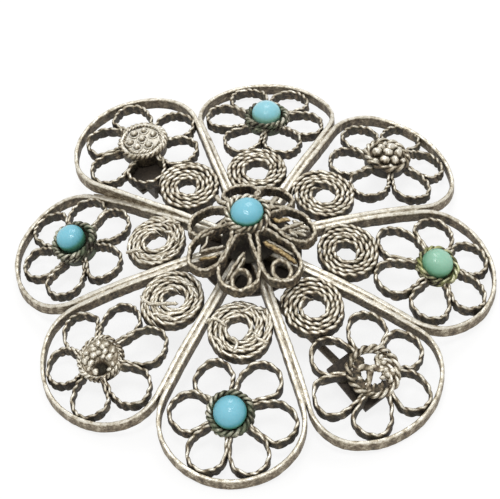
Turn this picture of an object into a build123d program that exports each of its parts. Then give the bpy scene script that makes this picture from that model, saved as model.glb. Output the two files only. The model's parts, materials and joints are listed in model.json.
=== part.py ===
"""Flower brooch in silver filigree with turquoise stones, in millimetres.

+Z is up, out of the front of the brooch, and z = 0 is the plane that it lies on,
the lower edges of its petals. The pin runs along X under petals 1 and 5, and the
petals are counted counter-clockwise, petal 1 on +X.
"""

import os
from math import asin, cos, pi, radians, sin, sqrt

from build123d import *

# Frame of a petal: a flattened wire on edge, bent to the petal's outline.
STRIP_T = 0.50          # thickness of the strip, seen from the front
STRIP_H = 1.40          # height of the strip
PETAL_GAP = 0.10        # between the strips of two neighbours
DOME_AT = 24.0          # radius at which a petal's drop is given
PETAL_Z = 6.35          # top of the petals at the brooch's axis
SOLDER_R = 2.9          # radius of the solder that joins a petal's inner ends
HUB_HOLE_R = 1.4        # hole for the post of the centre flower

# Rosette: six small rings round a seat.
RING_HOLE_R = 1.65
RING_WIRE = 0.38
RING_H = 1.20
RING_DOWN = 0.15        # top of the rings below the strip's top
SOLDER_LAP = 0.06       # how far soldered wires run into each other
SEAT_R = 2.95
SEAT_H = 0.75
SEAT_DOWN = 0.55

# Coil of twisted wire between the rosette and the centre.
COIL_HOLE_R = 1.05
COIL_H = 1.40
COIL_DOWN = -0.10       # the coil stands a little proud

# Collar round a stone or round a group of granules.
STONE_R = 1.62
STONE_FIT = 0.05        # clearance between a stone and its collar or seat
COLLAR_W = 0.50
COLLAR_H = 0.80
STONE_SIDE = 0.80       # straight side of a stone
STONE_CROWN = 1.35      # height of its round top above the side
SEAT_BORE_R = 0.9       # where the middle granule's seat has gone
GRAIN_RING_R = 1.95     # inside of the collar round granules
GRAIN_R = 0.58
GRAIN_PITCH = 1.12
GRAIN_UP = 0.20

# One row a petal, counter-clockwise from +X. turn is its angle away from an even
# eighth, reach the centre line of its tip from the axis, tip_r and shoulder_r the
# radii of that line, drop how far it falls by DOME_AT, and stone or grains says what
# is in its rosette, lift above the seat: of seven granules the first is in the middle.
PETALS = [
    # name,     turn, reach, tip_r, shoulder_r, drop, lift, centre,   grains
    ("petal_1",  0.0, 23.57,  8.75,       4.18, 4.95, 0.00, "grains", "1110011"),
    ("petal_2",  0.7, 23.74,  7.03,       4.63, 4.95, 0.00, "stone",  ""),
    ("petal_3",  1.0, 23.67,  8.77,       4.39, 4.95, 0.00, "grains", "1111111"),
    ("petal_4",  1.2, 23.66,  7.56,       4.60, 4.95, 0.50, "stone",  ""),
    ("petal_5",  0.2, 23.78,  6.89,       4.54, 2.30, 0.30, "grains", "1111111"),
    ("petal_6", -0.6, 23.50,  7.24,       4.35, 4.95, 0.30, "stone",  ""),
    ("petal_7", -1.6, 23.73,  7.23,       4.57, 4.95, 0.00, "grains", "1111001"),
    ("petal_8",  0.1, 23.74,  7.44,       4.82, 4.95, 0.10, "stone",  ""),
]
STEP = 360 / len(PETALS)

# Raised flower in the middle: ribbon loops that droop from a collar on a post.
LOOPS = [
    # turn, out, end_r, fall: direction, centre of the round end, its outer radius,
    # and fall for each millimetre outwards
    (359.5, 4.75, 2.10, 0.60),
    (53.5, 4.45, 2.02, 0.62),
    (104.8, 4.25, 1.90, 0.60),
    (151.0, 4.05, 1.90, 0.62),
    (216.8, 4.20, 1.90, 0.66),
    (262.5, 4.55, 2.10, 0.56),
    (309.5, 4.60, 2.15, 0.60),
]
LOOP_ROOT = 2.0         # centre of a loop's narrow end
LOOP_ROOT_R = 0.62
LOOP_T = 0.38
LOOP_H = 1.15
LOOP_TOP = 4.0          # top of the loops at the collar, above PETAL_Z
RINGLETS = [
    # loop, turn, out: the loop that it sits in and the place of its centre
    (0, 355.5, 5.50),
    (6, 313.0, 5.55),
]
RINGLET_DOWN = 0.35      # below the loops' top
RINGLET_H = 0.65
RINGLET_R = 1.0
RINGLET_HOLE_R = 0.6
POST_R = 1.3
FOOT_R = 2.7
FOOT_T = 0.4
BACK_R = 5.0            # domed plate under the petals' inner ends
CUP_Z = 3.55
CUP_T = 0.35
MID_STONE_R = 1.6
MID_COLLAR_H = 1.2      # above CUP_Z
MID_CROWN = 1.2

# Pin on the back: hinge under petal 1, catch under petal 5.
PIN_X = 15.0            # hinge axis
PIN_Y = -0.5            # the whole pin is a little to one side
PIN_Z = 1.00
STEM_R = 0.40
STEM_TAPER_X = -13.0
STEM_TIP_X = -18.9
STEM_TIP_R = 0.12
EYE_R = 0.60
EYE_HALF = 0.45
NECK_R = 0.48           # flare of the stem at its eye
NECK_OUT = 1.15         # start of the flare, from the hinge axis
PIVOT_R = 0.28
PIVOT_FIT = 0.05
LUG_GAP = 0.06          # between the eye and a lug
LUG_T = 0.5
LUG_R = 0.60
PLATE_DOWN = 1.40       # top of the pin's two plates below the petal's top
PLATE_T = 0.34
HINGE_PLATE = [         # pad over the lugs, strip and foot, in plan
    # x from, x to, y from, y to
    (14.40, 15.70, -2.60, 0.60),
    (14.40, 18.90, -2.60, -1.60),
    (18.60, 19.56, -2.25, 0.40),
]
CATCH_X = -14.8
CATCH_PLATE_LENGTH = 3.6
CATCH_PLATE_WIDTH = 3.9
CATCH_PLATE_SIDE = -0.85    # middle of the catch's plate, sideways from the stem
CATCH_HALF = 0.9
CHEEK_T = 0.4
CHEEK_FIT = 0.06
CHEEK_LOW = 0.52

# Puts the middle of the brooch's box on the axis and its lowest point on z = 0.
SHIFT = (0.105, 0.030, -0.004)

BIG = 60.0


def dome(drop, down):
    """Ball whose top is the petals' top surface, lowered by down."""
    r = (DOME_AT**2 + drop**2) / (2 * drop)
    return Pos(0, 0, PETAL_Z - down - r) * Sphere(r)


def dome_z(drop, x):
    """Height of the petals' top surface at a distance x from the axis."""
    r = (DOME_AT**2 + drop**2) / (2 * drop)
    return PETAL_Z - r + sqrt(r**2 - x**2)


def dome_slope(drop, x):
    """Angle in degrees by which the surface falls outwards at x."""
    r = (DOME_AT**2 + drop**2) / (2 * drop)
    return asin(x / r) * 180 / pi


def shell(plan, drop, down, height):
    """The plan cut out of the dome, from down below its top and height high."""
    prism = extrude(Pos(0, 0, -5) * plan, 25)
    return prism & dome(drop, down) - dome(drop, down + height)


def outline(half, reach, tip_r, shoulder_r, grow):
    """Face inside the petal's centre line, grown on all sides."""
    off = (PETAL_GAP + STRIP_T) / 2
    tip_u = reach - tip_r
    lift = tip_r - shoulder_r
    turn = half - asin((shoulder_r + off - tip_u * sin(half)) / lift)
    cu, cv = tip_u + lift * cos(turn), lift * sin(turn)
    side_r, end_r = shoulder_r + grow, tip_r + grow
    mid = (half + pi / 2 + turn) / 2
    root = ((off - grow) / sin(half), 0)
    side = (cu - side_r * sin(half), cv + side_r * cos(half))
    bend = (cu + side_r * cos(mid), cv + side_r * sin(mid))
    join = (tip_u + end_r * cos(turn), end_r * sin(turn))
    tip = (tip_u + end_r, 0)

    def low(p):
        return (p[0], -p[1])

    edges = [
        Line(root, side),
        ThreePointArc(side, bend, join),
        ThreePointArc(join, tip, low(join)),
        ThreePointArc(low(join), low(bend), low(side)),
        Line(low(side), root),
    ]
    return make_face(edges)


def disc(x, y, r):
    return Pos(x, y) * Circle(r)


def petal_layout(index):
    """Middle angle, half angle and the places of the rosette and the coil."""
    turns = [row[1] for row in PETALS]
    here = turns[index]
    left = turns[(index + 1) % len(PETALS)]
    right = turns[index - 1]
    high = (here + left + STEP) / 2
    low = (here + right - STEP) / 2
    half = radians((high - low) / 2)
    angle = index * STEP + (high + low) / 2
    reach, tip_r = PETALS[index][2:4]
    ring_r = RING_HOLE_R + RING_WIRE
    pitch = 2 * ring_r - SOLDER_LAP
    side = pitch / 2
    ahead = pitch * cos(pi / 6)
    # The two outer rings touch the tip from inside.
    room = tip_r - STRIP_T / 2 + SOLDER_LAP - ring_r
    rosette = reach - tip_r - ahead + sqrt(room**2 - side**2)
    # The coil touches both strips and the two inner rings.
    back = rosette - ahead
    s = sin(half)
    wall = PETAL_GAP / 2 + STRIP_T - SOLDER_LAP
    k = ring_r - SOLDER_LAP - wall
    b = back + s * k
    coil = (b - sqrt(b**2 - (1 - s**2) * (back**2 - k**2 + side**2))) / (1 - s**2)
    coil_r = coil * s - wall
    return angle, half, rosette, coil, coil_r, pitch, ring_r


def petal(index):
    """One petal: strip, coil, rosette and collar, soldered into one piece."""
    _, _, reach, tip_r, shoulder_r, drop, lift, centre, grains = PETALS[index]
    angle, half, rosette, coil, coil_r, pitch, ring_r = petal_layout(index)
    outer = outline(half, reach, tip_r, shoulder_r, STRIP_T / 2)
    inner = outline(half, reach, tip_r, shoulder_r, -STRIP_T / 2)
    strip = (outer - inner) + (outer & Circle(SOLDER_R)) - Circle(HUB_HOLE_R)
    body = shell(strip, drop, 0, STRIP_H)
    body += shell(disc(coil, 0, coil_r) - disc(coil, 0, COIL_HOLE_R), drop, COIL_DOWN, COIL_H)
    rings, holes = Sketch(), Sketch()
    for n in range(6):
        a = radians(30 + 60 * n)
        x, y = rosette + pitch * cos(a), pitch * sin(a)
        rings += disc(x, y, ring_r)
        holes += disc(x, y, RING_HOLE_R)
    body += shell(rings - holes, drop, RING_DOWN, RING_H)
    body += shell(disc(rosette, 0, SEAT_R) - holes, drop, SEAT_DOWN, SEAT_H)
    seat = seat_place(index)
    hole = STONE_R + STONE_FIT if centre == "stone" else GRAIN_RING_R
    up = (Align.CENTER, Align.CENTER, Align.MIN)
    root = lift + SEAT_H / 2
    body += seat * Pos(0, 0, -root) * (
        Cylinder(hole + COLLAR_W, root + COLLAR_H, align=up)
        - Pos(0, 0, root) * Cylinder(hole, BIG, align=up))
    if centre == "grains":
        if grains[0] == "0":
            body -= seat * Cylinder(SEAT_BORE_R, BIG)
        for n, there in enumerate(grains):
            if there == "1":
                out = 0 if n == 0 else GRAIN_PITCH
                a = radians(60 * n)
                body += seat * Pos(out * cos(a), out * sin(a), GRAIN_UP) * Sphere(GRAIN_R)
    return Rot(0, 0, angle) * body


def seat_place(index):
    """Where the rosette's seat is, before the petal is turned, its z out of the dome."""
    drop = PETALS[index][5]
    x = petal_layout(index)[2]
    lift = PETALS[index][6]
    return (Pos(x, 0, dome_z(drop, x) - SEAT_DOWN) * Rot(0, dome_slope(drop, x), 0)
            * Pos(0, 0, lift))


def cabochon(r, side, crown):
    """Round stone with a straight side and a high round top, its base on z = 0."""
    ball_r = (r**2 + crown**2) / (2 * crown)
    middle = side + crown - ball_r
    a = (asin((side - middle) / ball_r) + pi / 2) / 2
    profile = make_face([
        Line((0, 0), (r, 0)),
        Line((r, 0), (r, side)),
        ThreePointArc((r, side), (ball_r * cos(a), middle + ball_r * sin(a)), (0, side + crown)),
        Line((0, side + crown), (0, 0)),
    ])
    return revolve(Plane.XZ * profile, Axis.Z)


def stone(index):
    angle = petal_layout(index)[0]
    return Rot(0, 0, angle) * seat_place(index) * Pos(0, 0, 2 * STONE_FIT) * cabochon(
        STONE_R, STONE_SIDE - STONE_FIT, STONE_CROWN)


def cone_shell(plan, fall, top, height):
    """The plan cut out of a cone that falls outwards from the collar."""
    far = 12.0
    rise = fall * LOOP_ROOT
    drop = fall * (far - LOOP_ROOT)
    z = PETAL_Z + top
    profile = Polyline((0, z + rise), (far, z - drop), (far, z - drop - height),
                       (0, z + rise - height), close=True)
    cone = revolve(Plane.XZ * make_face(profile), Axis.Z)
    return extrude(Pos(0, 0, -5) * plan, 25) & cone


def loop_face(out, end_r, inset):
    """Drop shape of one ribbon loop on +X, smaller by the inset."""
    end = Pos(out, 0) * CenterArc((0, 0), end_r - inset, 0, 360)
    root = Pos(LOOP_ROOT, 0) * CenterArc((0, 0), LOOP_ROOT_R - inset, 0, 360)
    return make_hull([end, root])


def centre_flower():
    """Post, collar and drooping ribbon loops, soldered into one piece."""
    body = None
    for turn, out, end_r, fall in LOOPS:
        ribbon = loop_face(out, end_r, 0) - loop_face(out, end_r, LOOP_T) - Circle(POST_R + 0.6)
        loop = Rot(0, 0, turn) * cone_shell(ribbon, fall, LOOP_TOP, LOOP_H)
        body = loop if body is None else body + loop
    for loop, turn, out in RINGLETS:
        ringlet = disc(out, 0, RINGLET_R) - disc(out, 0, RINGLET_HOLE_R)
        body += Rot(0, 0, turn) * cone_shell(ringlet, LOOPS[loop][3], LOOP_TOP - RINGLET_DOWN, RINGLET_H)
    low = PETAL_Z - STRIP_H - PETAL_GAP - FOOT_T / 2
    post = Pos(0, 0, low) * Cylinder(POST_R, PETAL_Z + CUP_Z + CUP_T / 2 - low,
                                     align=(Align.CENTER, Align.CENTER, Align.MIN))
    foot = Pos(0, 0, PETAL_Z + PETAL_GAP) * Cylinder(
        FOOT_R, FOOT_T, align=(Align.CENTER, Align.CENTER, Align.MIN))
    back = shell(Circle(BACK_R), PETALS[0][5], STRIP_H + PETAL_GAP, FOOT_T)
    hole = MID_STONE_R + STONE_FIT
    cup = Pos(0, 0, PETAL_Z + CUP_Z) * Cylinder(
        hole + COLLAR_W, MID_COLLAR_H, align=(Align.CENTER, Align.CENTER, Align.MIN))
    well = Pos(0, 0, PETAL_Z + CUP_Z + CUP_T) * Cylinder(
        hole, MID_COLLAR_H, align=(Align.CENTER, Align.CENTER, Align.MIN))
    return body + post + foot + back + cup - well


def centre_stone():
    z = PETAL_Z + CUP_Z + CUP_T + STONE_FIT
    return Pos(0, 0, z) * cabochon(MID_STONE_R, MID_COLLAR_H - CUP_T, MID_CROWN)


def cross_cylinder(x, z, r, width):
    """Cylinder along Y."""
    return Pos(x, 0, z) * Rot(90, 0, 0) * Cylinder(r, width)


def pin_hinge():
    """Plate under petal 1 with two lugs and the pivot between them."""
    drop = PETALS[0][5]
    y_in = EYE_HALF + LUG_GAP
    y_mid = y_in + LUG_T / 2
    top = dome_z(drop, PIN_X) - PLATE_DOWN - PLATE_T / 2
    plan = Sketch()
    for x_from, x_to, y_from, y_to in HINGE_PLATE:
        plan += Pos((x_from + x_to) / 2, (y_from + y_to) / 2) * Rectangle(x_to - x_from, y_to - y_from)
    fork = cross_cylinder(PIN_X, PIN_Z, PIVOT_R, 2 * (y_in + LUG_T / 2))
    for side in (-1, 1):
        fork += Pos(PIN_X, side * y_mid, (top + PIN_Z) / 2) * Box(2 * LUG_R, LUG_T, top - PIN_Z)
        fork += Pos(PIN_X, side * y_mid, PIN_Z) * Rot(90, 0, 0) * Cylinder(LUG_R, LUG_T)
    return shell(plan, drop, PLATE_DOWN, PLATE_T) + Pos(0, PIN_Y, 0) * fork


def pin_stem():
    """Straight pin with an eye at the hinge and a point beyond the catch."""
    shaft = Pos((PIN_X + STEM_TAPER_X) / 2, 0, PIN_Z) * Rot(0, 90, 0) * Cylinder(
        STEM_R, PIN_X - STEM_TAPER_X)
    point = Pos((STEM_TAPER_X + STEM_TIP_X) / 2, 0, PIN_Z) * Rot(0, -90, 0) * Cone(
        STEM_R, STEM_TIP_R, STEM_TAPER_X - STEM_TIP_X)
    neck = Pos(PIN_X - NECK_OUT / 2, 0, PIN_Z) * Rot(0, 90, 0) * Cone(STEM_R, NECK_R, NECK_OUT)
    eye = cross_cylinder(PIN_X, PIN_Z, EYE_R, 2 * EYE_HALF)
    body = shaft + point + neck + eye - cross_cylinder(PIN_X, PIN_Z, PIVOT_R + PIVOT_FIT, BIG)
    return Pos(0, PIN_Y, 0) * body


def pin_catch():
    """Plate under petal 5 with a fork that the stem springs into from below."""
    drop = PETALS[4][5]
    plan = Pos(CATCH_X, CATCH_PLATE_SIDE) * Rectangle(CATCH_PLATE_LENGTH, CATCH_PLATE_WIDTH)
    plate = shell(plan, drop, PLATE_DOWN, PLATE_T)
    top = dome_z(drop, -CATCH_X) - PLATE_DOWN - PLATE_T / 2
    inside = STEM_R + CHEEK_FIT
    outside = inside + CHEEK_T
    fork = Pos(CATCH_X, 0, (top + CHEEK_LOW) / 2) * Box(
        2 * CATCH_HALF, 2 * outside, top - CHEEK_LOW)
    slot = Pos(CATCH_X, 0, PIN_Z / 2) * Box(BIG, 2 * inside, PIN_Z)
    slot += Pos(CATCH_X, 0, PIN_Z) * Rot(0, 90, 0) * Cylinder(inside, BIG)
    return Pos(0, PIN_Y, 0) * (plate + fork - slot)


def main():
    os.makedirs("parts", exist_ok=True)
    pieces = {}
    for index, row in enumerate(PETALS):
        pieces[row[0]] = petal(index)
        if row[7] == "stone":
            pieces["stone_" + row[0][-1]] = stone(index)
    pieces["centre_flower"] = centre_flower()
    pieces["centre_stone"] = centre_stone()
    pieces["pin_hinge"] = pin_hinge()
    pieces["pin_stem"] = pin_stem()
    pieces["pin_catch"] = pin_catch()
    for name, made in pieces.items():
        piece = Pos(*SHIFT) * made
        solids = piece.solids()
        box = piece.bounding_box()
        print(name, "solids", len(solids), "volume", round(piece.volume, 2),
              "z", round(box.min.Z, 3), round(box.max.Z, 3))
        export_step(solids[0] if len(solids) == 1 else piece, os.path.join("parts", name + ".step"))


main()
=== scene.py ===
"""The looks of the flower brooch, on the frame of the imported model.

Lengths are in millimetres and angles in radians until a mesh is stored. The row's axes
hold throughout: +Z is out of the front, z = 0 is the plane that the brooch lies on, and
+X runs along the pin to its hinge.
"""

from __future__ import annotations

import json
import logging
import math
from collections.abc import Callable
from dataclasses import dataclass, field
from enum import Enum

import bpy
import numpy as np
from mathutils import Matrix

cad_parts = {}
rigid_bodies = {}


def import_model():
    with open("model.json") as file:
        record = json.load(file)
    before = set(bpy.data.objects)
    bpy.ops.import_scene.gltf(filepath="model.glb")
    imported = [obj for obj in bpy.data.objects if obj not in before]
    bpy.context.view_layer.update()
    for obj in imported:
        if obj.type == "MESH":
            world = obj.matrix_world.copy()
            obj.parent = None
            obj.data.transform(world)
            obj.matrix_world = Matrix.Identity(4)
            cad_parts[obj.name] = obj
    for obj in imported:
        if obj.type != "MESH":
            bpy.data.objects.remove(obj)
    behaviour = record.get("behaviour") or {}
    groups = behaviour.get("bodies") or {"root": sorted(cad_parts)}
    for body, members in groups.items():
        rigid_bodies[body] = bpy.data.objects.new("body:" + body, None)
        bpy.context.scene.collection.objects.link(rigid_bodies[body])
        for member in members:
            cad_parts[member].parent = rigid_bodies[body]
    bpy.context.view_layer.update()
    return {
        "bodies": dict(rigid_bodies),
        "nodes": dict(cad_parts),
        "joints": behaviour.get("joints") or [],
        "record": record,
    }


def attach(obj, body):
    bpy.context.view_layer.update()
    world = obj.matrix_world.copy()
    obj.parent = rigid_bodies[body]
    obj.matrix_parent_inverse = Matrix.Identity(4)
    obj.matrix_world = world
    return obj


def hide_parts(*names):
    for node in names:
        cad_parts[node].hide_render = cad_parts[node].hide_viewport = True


log = logging.getLogger("brooch")

Array = np.ndarray
Rng = np.random.Generator
Socket = bpy.types.NodeSocket
Tree = bpy.types.NodeTree
Colour = tuple[float, float, float]
Points = tuple[tuple[float, float, float], ...]
Place = Callable[[Array], Array]

TAU = 2 * math.pi
MM = 0.001
UP = np.array([0.0, 0.0, 1.0])
LEFT = np.array([0.0, 1.0, 0.0])
SHIFT = np.array([0.105, 0.030, -0.004])  # from the flower's axis to the row's origin

DOME_AT = 24.0  # distance from the axis at which the fall of a dome is counted
PETAL_Z = 6.35  # top of the petals' dome on the axis
STRIP_T = 0.50  # thickness of a petal's strip
STRIP_H = 1.40  # height of a petal's strip
PETAL_GAP = 0.10  # gap between the strips of two petals
RING_R = 1.84  # radius of a rosette ring's centre line
RING_OUT = 2.03  # radius that a rosette's ring takes up in all
RING_PITCH = 4.0  # distance of a ring's middle from the rosette's, and from the next one's
LAP = 0.06  # how far soldered pieces reach into each other
SEAT_DEPTH = 0.55  # how far a seat's own zero is below the dome
CUP_DEPTH = 0.55  # how far a cup's wall reaches below a seat's own zero
COIL_PITCH = 0.455  # distance between two turns of a coil
STONE_R = 1.62  # usual radius of a stone
STONE_CROWN = 1.36  # height of the round top of such a stone
HEADING = 54.8  # turn of the brooch against the photograph, in degrees

WAVE_SPREAD = (0.6, 1.7)  # shortest and longest wave of a wander, against the wanted one
PHASES = 6.28  # random phases of a wander lie below this
RIPPLE_PHASES = 6  # random phases of ripples lie below this

COLOUR_A, COLOUR_B, COLOUR_OUT = 6, 7, 2  # the colour sockets of a Mix node


class Setting(Enum):
    """What sits in the middle of a petal's rosette."""

    BLUE = "blue stone"
    GREEN = "green stone"
    CLUSTER = "cluster of large granules"
    DISC = "raised disc with small granules"
    WORN = "worn seat with most of its granules"
    OPEN = "open seat with the rest of its granules"


# Surfaces


@dataclass
class Patch:
    """A closed surface on a grid of points.

    Attributes:
        points: Grid of points, rows by columns by three.
        wear_and_shade: How bright the metal is at each point, 0 in a groove and 1 on a rubbed edge;
        it is also lowered where painted shade is laid on.
        loop: True where the last row joins the first; otherwise both ends are capped.
    """

    points: Array
    wear_and_shade: Array
    loop: bool = False


def quads(rows: int, cols: int, loop: bool) -> Array:
    """Corner numbers of a grid's faces: each joins a point to its three next neighbours.

    Args:
        rows: Number of rows.
        cols: Number of columns, which always join up.
        loop: True where the rows join up too.

    Returns:
        One row of four numbers for each face.
    """
    index = np.arange(rows * cols).reshape(rows, cols)
    if loop:
        index = np.vstack([index, index[:1]])
    index = np.hstack([index, index[:, :1]])
    return np.stack([index[:-1, :-1], index[1:, :-1], index[1:, 1:], index[:-1, 1:]], -1).reshape(-1, 4)


def faced(patch: Patch) -> tuple[Array, Array, Array, Array]:
    """Points and faces of one surface, closed and facing outwards.

    Each open end gets a fan of triangles round the mean of its row. The triple products of
    all triangles add up to the volume, and where it is negative every face is turned over.

    Args:
        patch: The surface.

    Returns:
        The points, the wear and painted shade at each, the faces with four corners and those with three.
    """
    rows, cols = patch.points.shape[:2]
    points = patch.points.reshape(-1, 3)
    wear_and_shade = patch.wear_and_shade.reshape(-1)
    four = quads(rows, cols, patch.loop)
    three = np.zeros((0, 3), int)
    if not patch.loop:
        first = np.arange(cols)
        last = first + (rows - 1) * cols
        low = np.stack([np.full(cols, rows * cols), first, np.roll(first, -1)], 1)
        high = np.stack([np.full(cols, rows * cols + 1), np.roll(last, -1), last], 1)
        three = np.vstack([low, high])
        points = np.vstack([points, patch.points[0].mean(0), patch.points[-1].mean(0)])
        wear_and_shade = np.concatenate([wear_and_shade, [patch.wear_and_shade[0].mean(), patch.wear_and_shade[-1].mean()]])
    around = points - points.mean(0)
    fan = np.vstack([four[:, [0, 1, 2]], four[:, [0, 2, 3]], three])
    a, b, c = (around[fan[:, corner]] for corner in range(3))
    if np.einsum("ij,ij->i", a, np.cross(b, c)).sum() < 0:
        four, three = four[:, ::-1], three[:, ::-1]
    return points, wear_and_shade, four, three


def store(name: str, patches: list[Patch], material: bpy.types.Material, body: str,
          replaces: tuple[str, ...] = ()) -> bpy.types.Object:
    """Puts patches into one mesh and hands it to the frame.

    Args:
        name: The piece's name.
        patches: Its closed surfaces.
        material: Its finish.
        body: The body that it rides on.
        replaces: CAD nodes that it stands for.

    Returns:
        The new object, at the origin.
    """
    points, wear_and_shade, fours, threes = zip(*map(faced, patches))
    bases = np.cumsum([0] + [len(part) for part in points])
    four = np.vstack([part + base for part, base in zip(fours, bases)])
    three = np.vstack([part + base for part, base in zip(threes, bases)])
    corners = np.concatenate([four.reshape(-1), three.reshape(-1)]).astype(np.int32)
    starts = np.concatenate([np.arange(len(four)) * 4, len(four) * 4 + np.arange(len(three)) * 3])
    mesh = bpy.data.meshes.new(name)
    mesh.vertices.add(bases[-1])
    mesh.vertices.foreach_set("co", ((np.vstack(points) + SHIFT) * MM).astype(np.float32).reshape(-1))
    mesh.loops.add(len(corners))
    mesh.loops.foreach_set("vertex_index", corners)
    mesh.polygons.add(len(starts))
    mesh.polygons.foreach_set("loop_start", starts.astype(np.int32))
    mesh.update(calc_edges=True)
    mesh.polygons.foreach_set("use_smooth", np.ones(len(starts), bool))
    mesh.attributes.new("wear_and_shade", "FLOAT", "POINT").data.foreach_set(
        "value", np.clip(np.concatenate(wear_and_shade), 0, 1).astype(np.float32))
    mesh.materials.append(material)
    piece = bpy.data.objects.new(name, mesh)
    bpy.context.scene.collection.objects.link(piece)
    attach(piece, body)
    if replaces:
        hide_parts(*replaces)
    log.info("%s: %d triangles", name, 2 * len(four) + len(three))
    return piece


def waves(s: Array, rng: Rng, length: float, count: int = 4) -> Array:
    """Smooth wander along a path: a sum of sines with lengths near the given one.

    The sum is divided by 1.4 times the root of the count, which mostly keeps it within 1.

    Args:
        s: Distance along the path.
        rng: Seeded source of the lengths and phases.
        length: Typical wavelength.
        count: Number of sines.

    Returns:
        Values between about -1 and 1.
    """
    out = np.zeros_like(s)
    for _ in range(count):
        out = out + np.sin(TAU * s / (length * rng.uniform(*WAVE_SPREAD)) + rng.uniform(0, PHASES))
    return out / count ** 0.5 / 1.4


def ripples(angle: Array, rng: Rng, *terms: tuple[float, int]) -> Array:
    """Ripples round a loop: each term is a size times the sine of a whole number of turns.

    Args:
        angle: Angle round the loop.
        rng: Seeded source of the phases.
        *terms: Size of each sine and the number of its waves in the loop.

    Returns:
        Their sum at each angle.
    """
    return sum(size * np.sin(count * angle + rng.uniform(0, RIPPLE_PHASES)) for size, count in terms)


def speckle(shape: tuple[int, int], rng: Rng) -> Array:
    """Random numbers on a grid, each the mean of three along the first direction.

    Args:
        shape: Rows and columns.
        rng: Seeded numbers.

    Returns:
        The grid of numbers.
    """
    noise = rng.standard_normal(shape)
    return (noise + np.roll(noise, 1, 0) + np.roll(noise, -1, 0)) / 3


def arc(cx: float, cy: float, r: float, start: float, end: float, count: int) -> Array:
    """Points on a circle's arc in plan, centre plus radius times cosine and sine.

    Args:
        cx: First number of the centre.
        cy: Second number of the centre.
        r: Radius.
        start: Angle of the first point.
        end: Angle of the last point.
        count: Number of points.

    Returns:
        The points.
    """
    a = np.linspace(start, end, count)
    return np.stack([cx + r * np.cos(a), cy + r * np.sin(a)], 1)


def resample(path: Array, step: float, closed: bool) -> tuple[Array, Array]:
    """Evenly spaced points along a path, by its running length.

    Args:
        path: Points of the path, in plan or in space.
        step: Wanted distance between points.
        closed: True where the path ends where it starts; the end isn't repeated.

    Returns:
        The points and the distance of each along the path.
    """
    if closed:
        path = np.vstack([path, path[:1]])
    run = np.concatenate([[0], np.cumsum(np.linalg.norm(np.diff(path, axis=0), axis=1))])
    count = max(8, int(round(run[-1] / step)))
    s = np.linspace(0, run[-1], count + 1)[: count if closed else None]
    return np.stack([np.interp(s, run, path[:, k]) for k in range(path.shape[1])], 1), s


def smooth(path: Array, closed: bool, rounds: int) -> Array:
    """Softens corners: each point moves halfway to the mean of its neighbours.

    Args:
        path: Points of the path.
        closed: True where the path is a loop; otherwise its ends stay.
        rounds: How many times the points move.

    Returns:
        The softened path.
    """
    for _ in range(rounds):
        if closed:
            mean = (np.roll(path, 1, 0) + np.roll(path, -1, 0)) / 2
        else:
            mean = path.copy()
            mean[1:-1] = (path[2:] + path[:-2]) / 2
        path = (path + mean) / 2
    return path


def tangents(path: Array, closed: bool) -> Array:
    """Unit directions along a path, from each point's two neighbours.

    Args:
        path: Points of the path.
        closed: True where the path is a loop.

    Returns:
        One direction for each point.
    """
    if closed:
        t = np.roll(path, -1, 0) - np.roll(path, 1, 0)
    else:
        t = np.gradient(path, axis=0)
    return t / np.linalg.norm(t, axis=1, keepdims=True)


def leftward(plan: Array, closed: bool) -> Array:
    """Unit directions to the left of a path in plan: its tangents turned by a right angle."""
    t = tangents(plan, closed)
    return np.stack([-t[:, 1], t[:, 0]], 1)


def tapered(s: Array, length: float, least: float) -> Array:
    """Factors that make a wire thin at its ends: the distance to the nearer end over a length.

    Args:
        s: Distance along the path.
        length: Length over which an end gets thin.
        least: Factor at the very end.

    Returns:
        The same factor for width and height at each row.
    """
    return np.clip(np.minimum(s, s[-1] - s) / length, least, 1)[:, None] * np.ones(2)


@dataclass(frozen=True)
class Profile:
    """Cross-section of a flattened wire: a rectangle with round corners.

    Attributes:
        points: Its points, along the width and the height.
        normals: Their outward normals.
        turn: The angle at which each is seen from the middle of the rectangle squeezed to a
            square, as a share of a full turn.
    """

    points: Array
    normals: Array
    turn: Array

    @classmethod
    def box(cls, width: float, height: float, corner: float, flat: int) -> Profile:
        """Goes round the rectangle: a quarter circle at each corner, points along the tall sides.

        Args:
            width: Thickness, along the first axis.
            height: Height, along the second axis.
            corner: Radius of the corners.
            flat: Points along each tall side.

        Returns:
            The cross-section.
        """
        w, h = width / 2 - corner, height / 2 - corner
        quarter = np.linspace(0, np.pi / 2, 4)
        side = np.linspace(h, -h, flat + 2)[1:-1]
        points, normals = [], []
        for k, (sx, sy) in enumerate(((1, 1), (-1, 1), (-1, -1), (1, -1))):
            n = np.stack([np.cos(quarter + k * np.pi / 2), np.sin(quarter + k * np.pi / 2)], 1)
            points.append(np.array([sx * w, sy * h]) + corner * n)
            normals.append(n)
            if sx * sy < 0:
                points.append(np.stack([np.full(flat, sx * width / 2), sy * side], 1))
                normals.append(np.tile([float(sx), 0.0], (flat, 1)))
        p = np.vstack(points)
        return cls(p, np.vstack(normals), np.arctan2(p[:, 1] / height, p[:, 0] / width) / TAU)

    @property
    def upward(self) -> Array:
        """How far each point faces up, as one row."""
        return self.normals[None, :, 1]


def carry(path: Array, closed: bool, profile: Profile, relief: Array, stretch: Array | None = None) -> Array:
    """Carries a profile along a path: each point is the path's, plus the profile's first
    number along the level side direction and its second straight up, pushed out along the
    profile's normal by the relief.

    Args:
        path: Points of the path, in space.
        closed: True where the path is a loop.
        profile: The cross-section.
        relief: Outward push, rows by profile points.
        stretch: Factors on the profile's width and height at each row.

    Returns:
        Grid of points.
    """
    side = np.cross(UP, tangents(path, closed))
    side /= np.linalg.norm(side, axis=1, keepdims=True)
    factors = np.ones((1, 2)) if stretch is None else stretch
    x = factors[:, :1] * profile.points[:, 0] + relief * profile.normals[:, 0]
    y = factors[:, 1:] * profile.points[:, 1] + relief * profile.normals[:, 1]
    return path[:, None] + x[..., None] * side[:, None] + y[..., None] * UP


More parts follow.
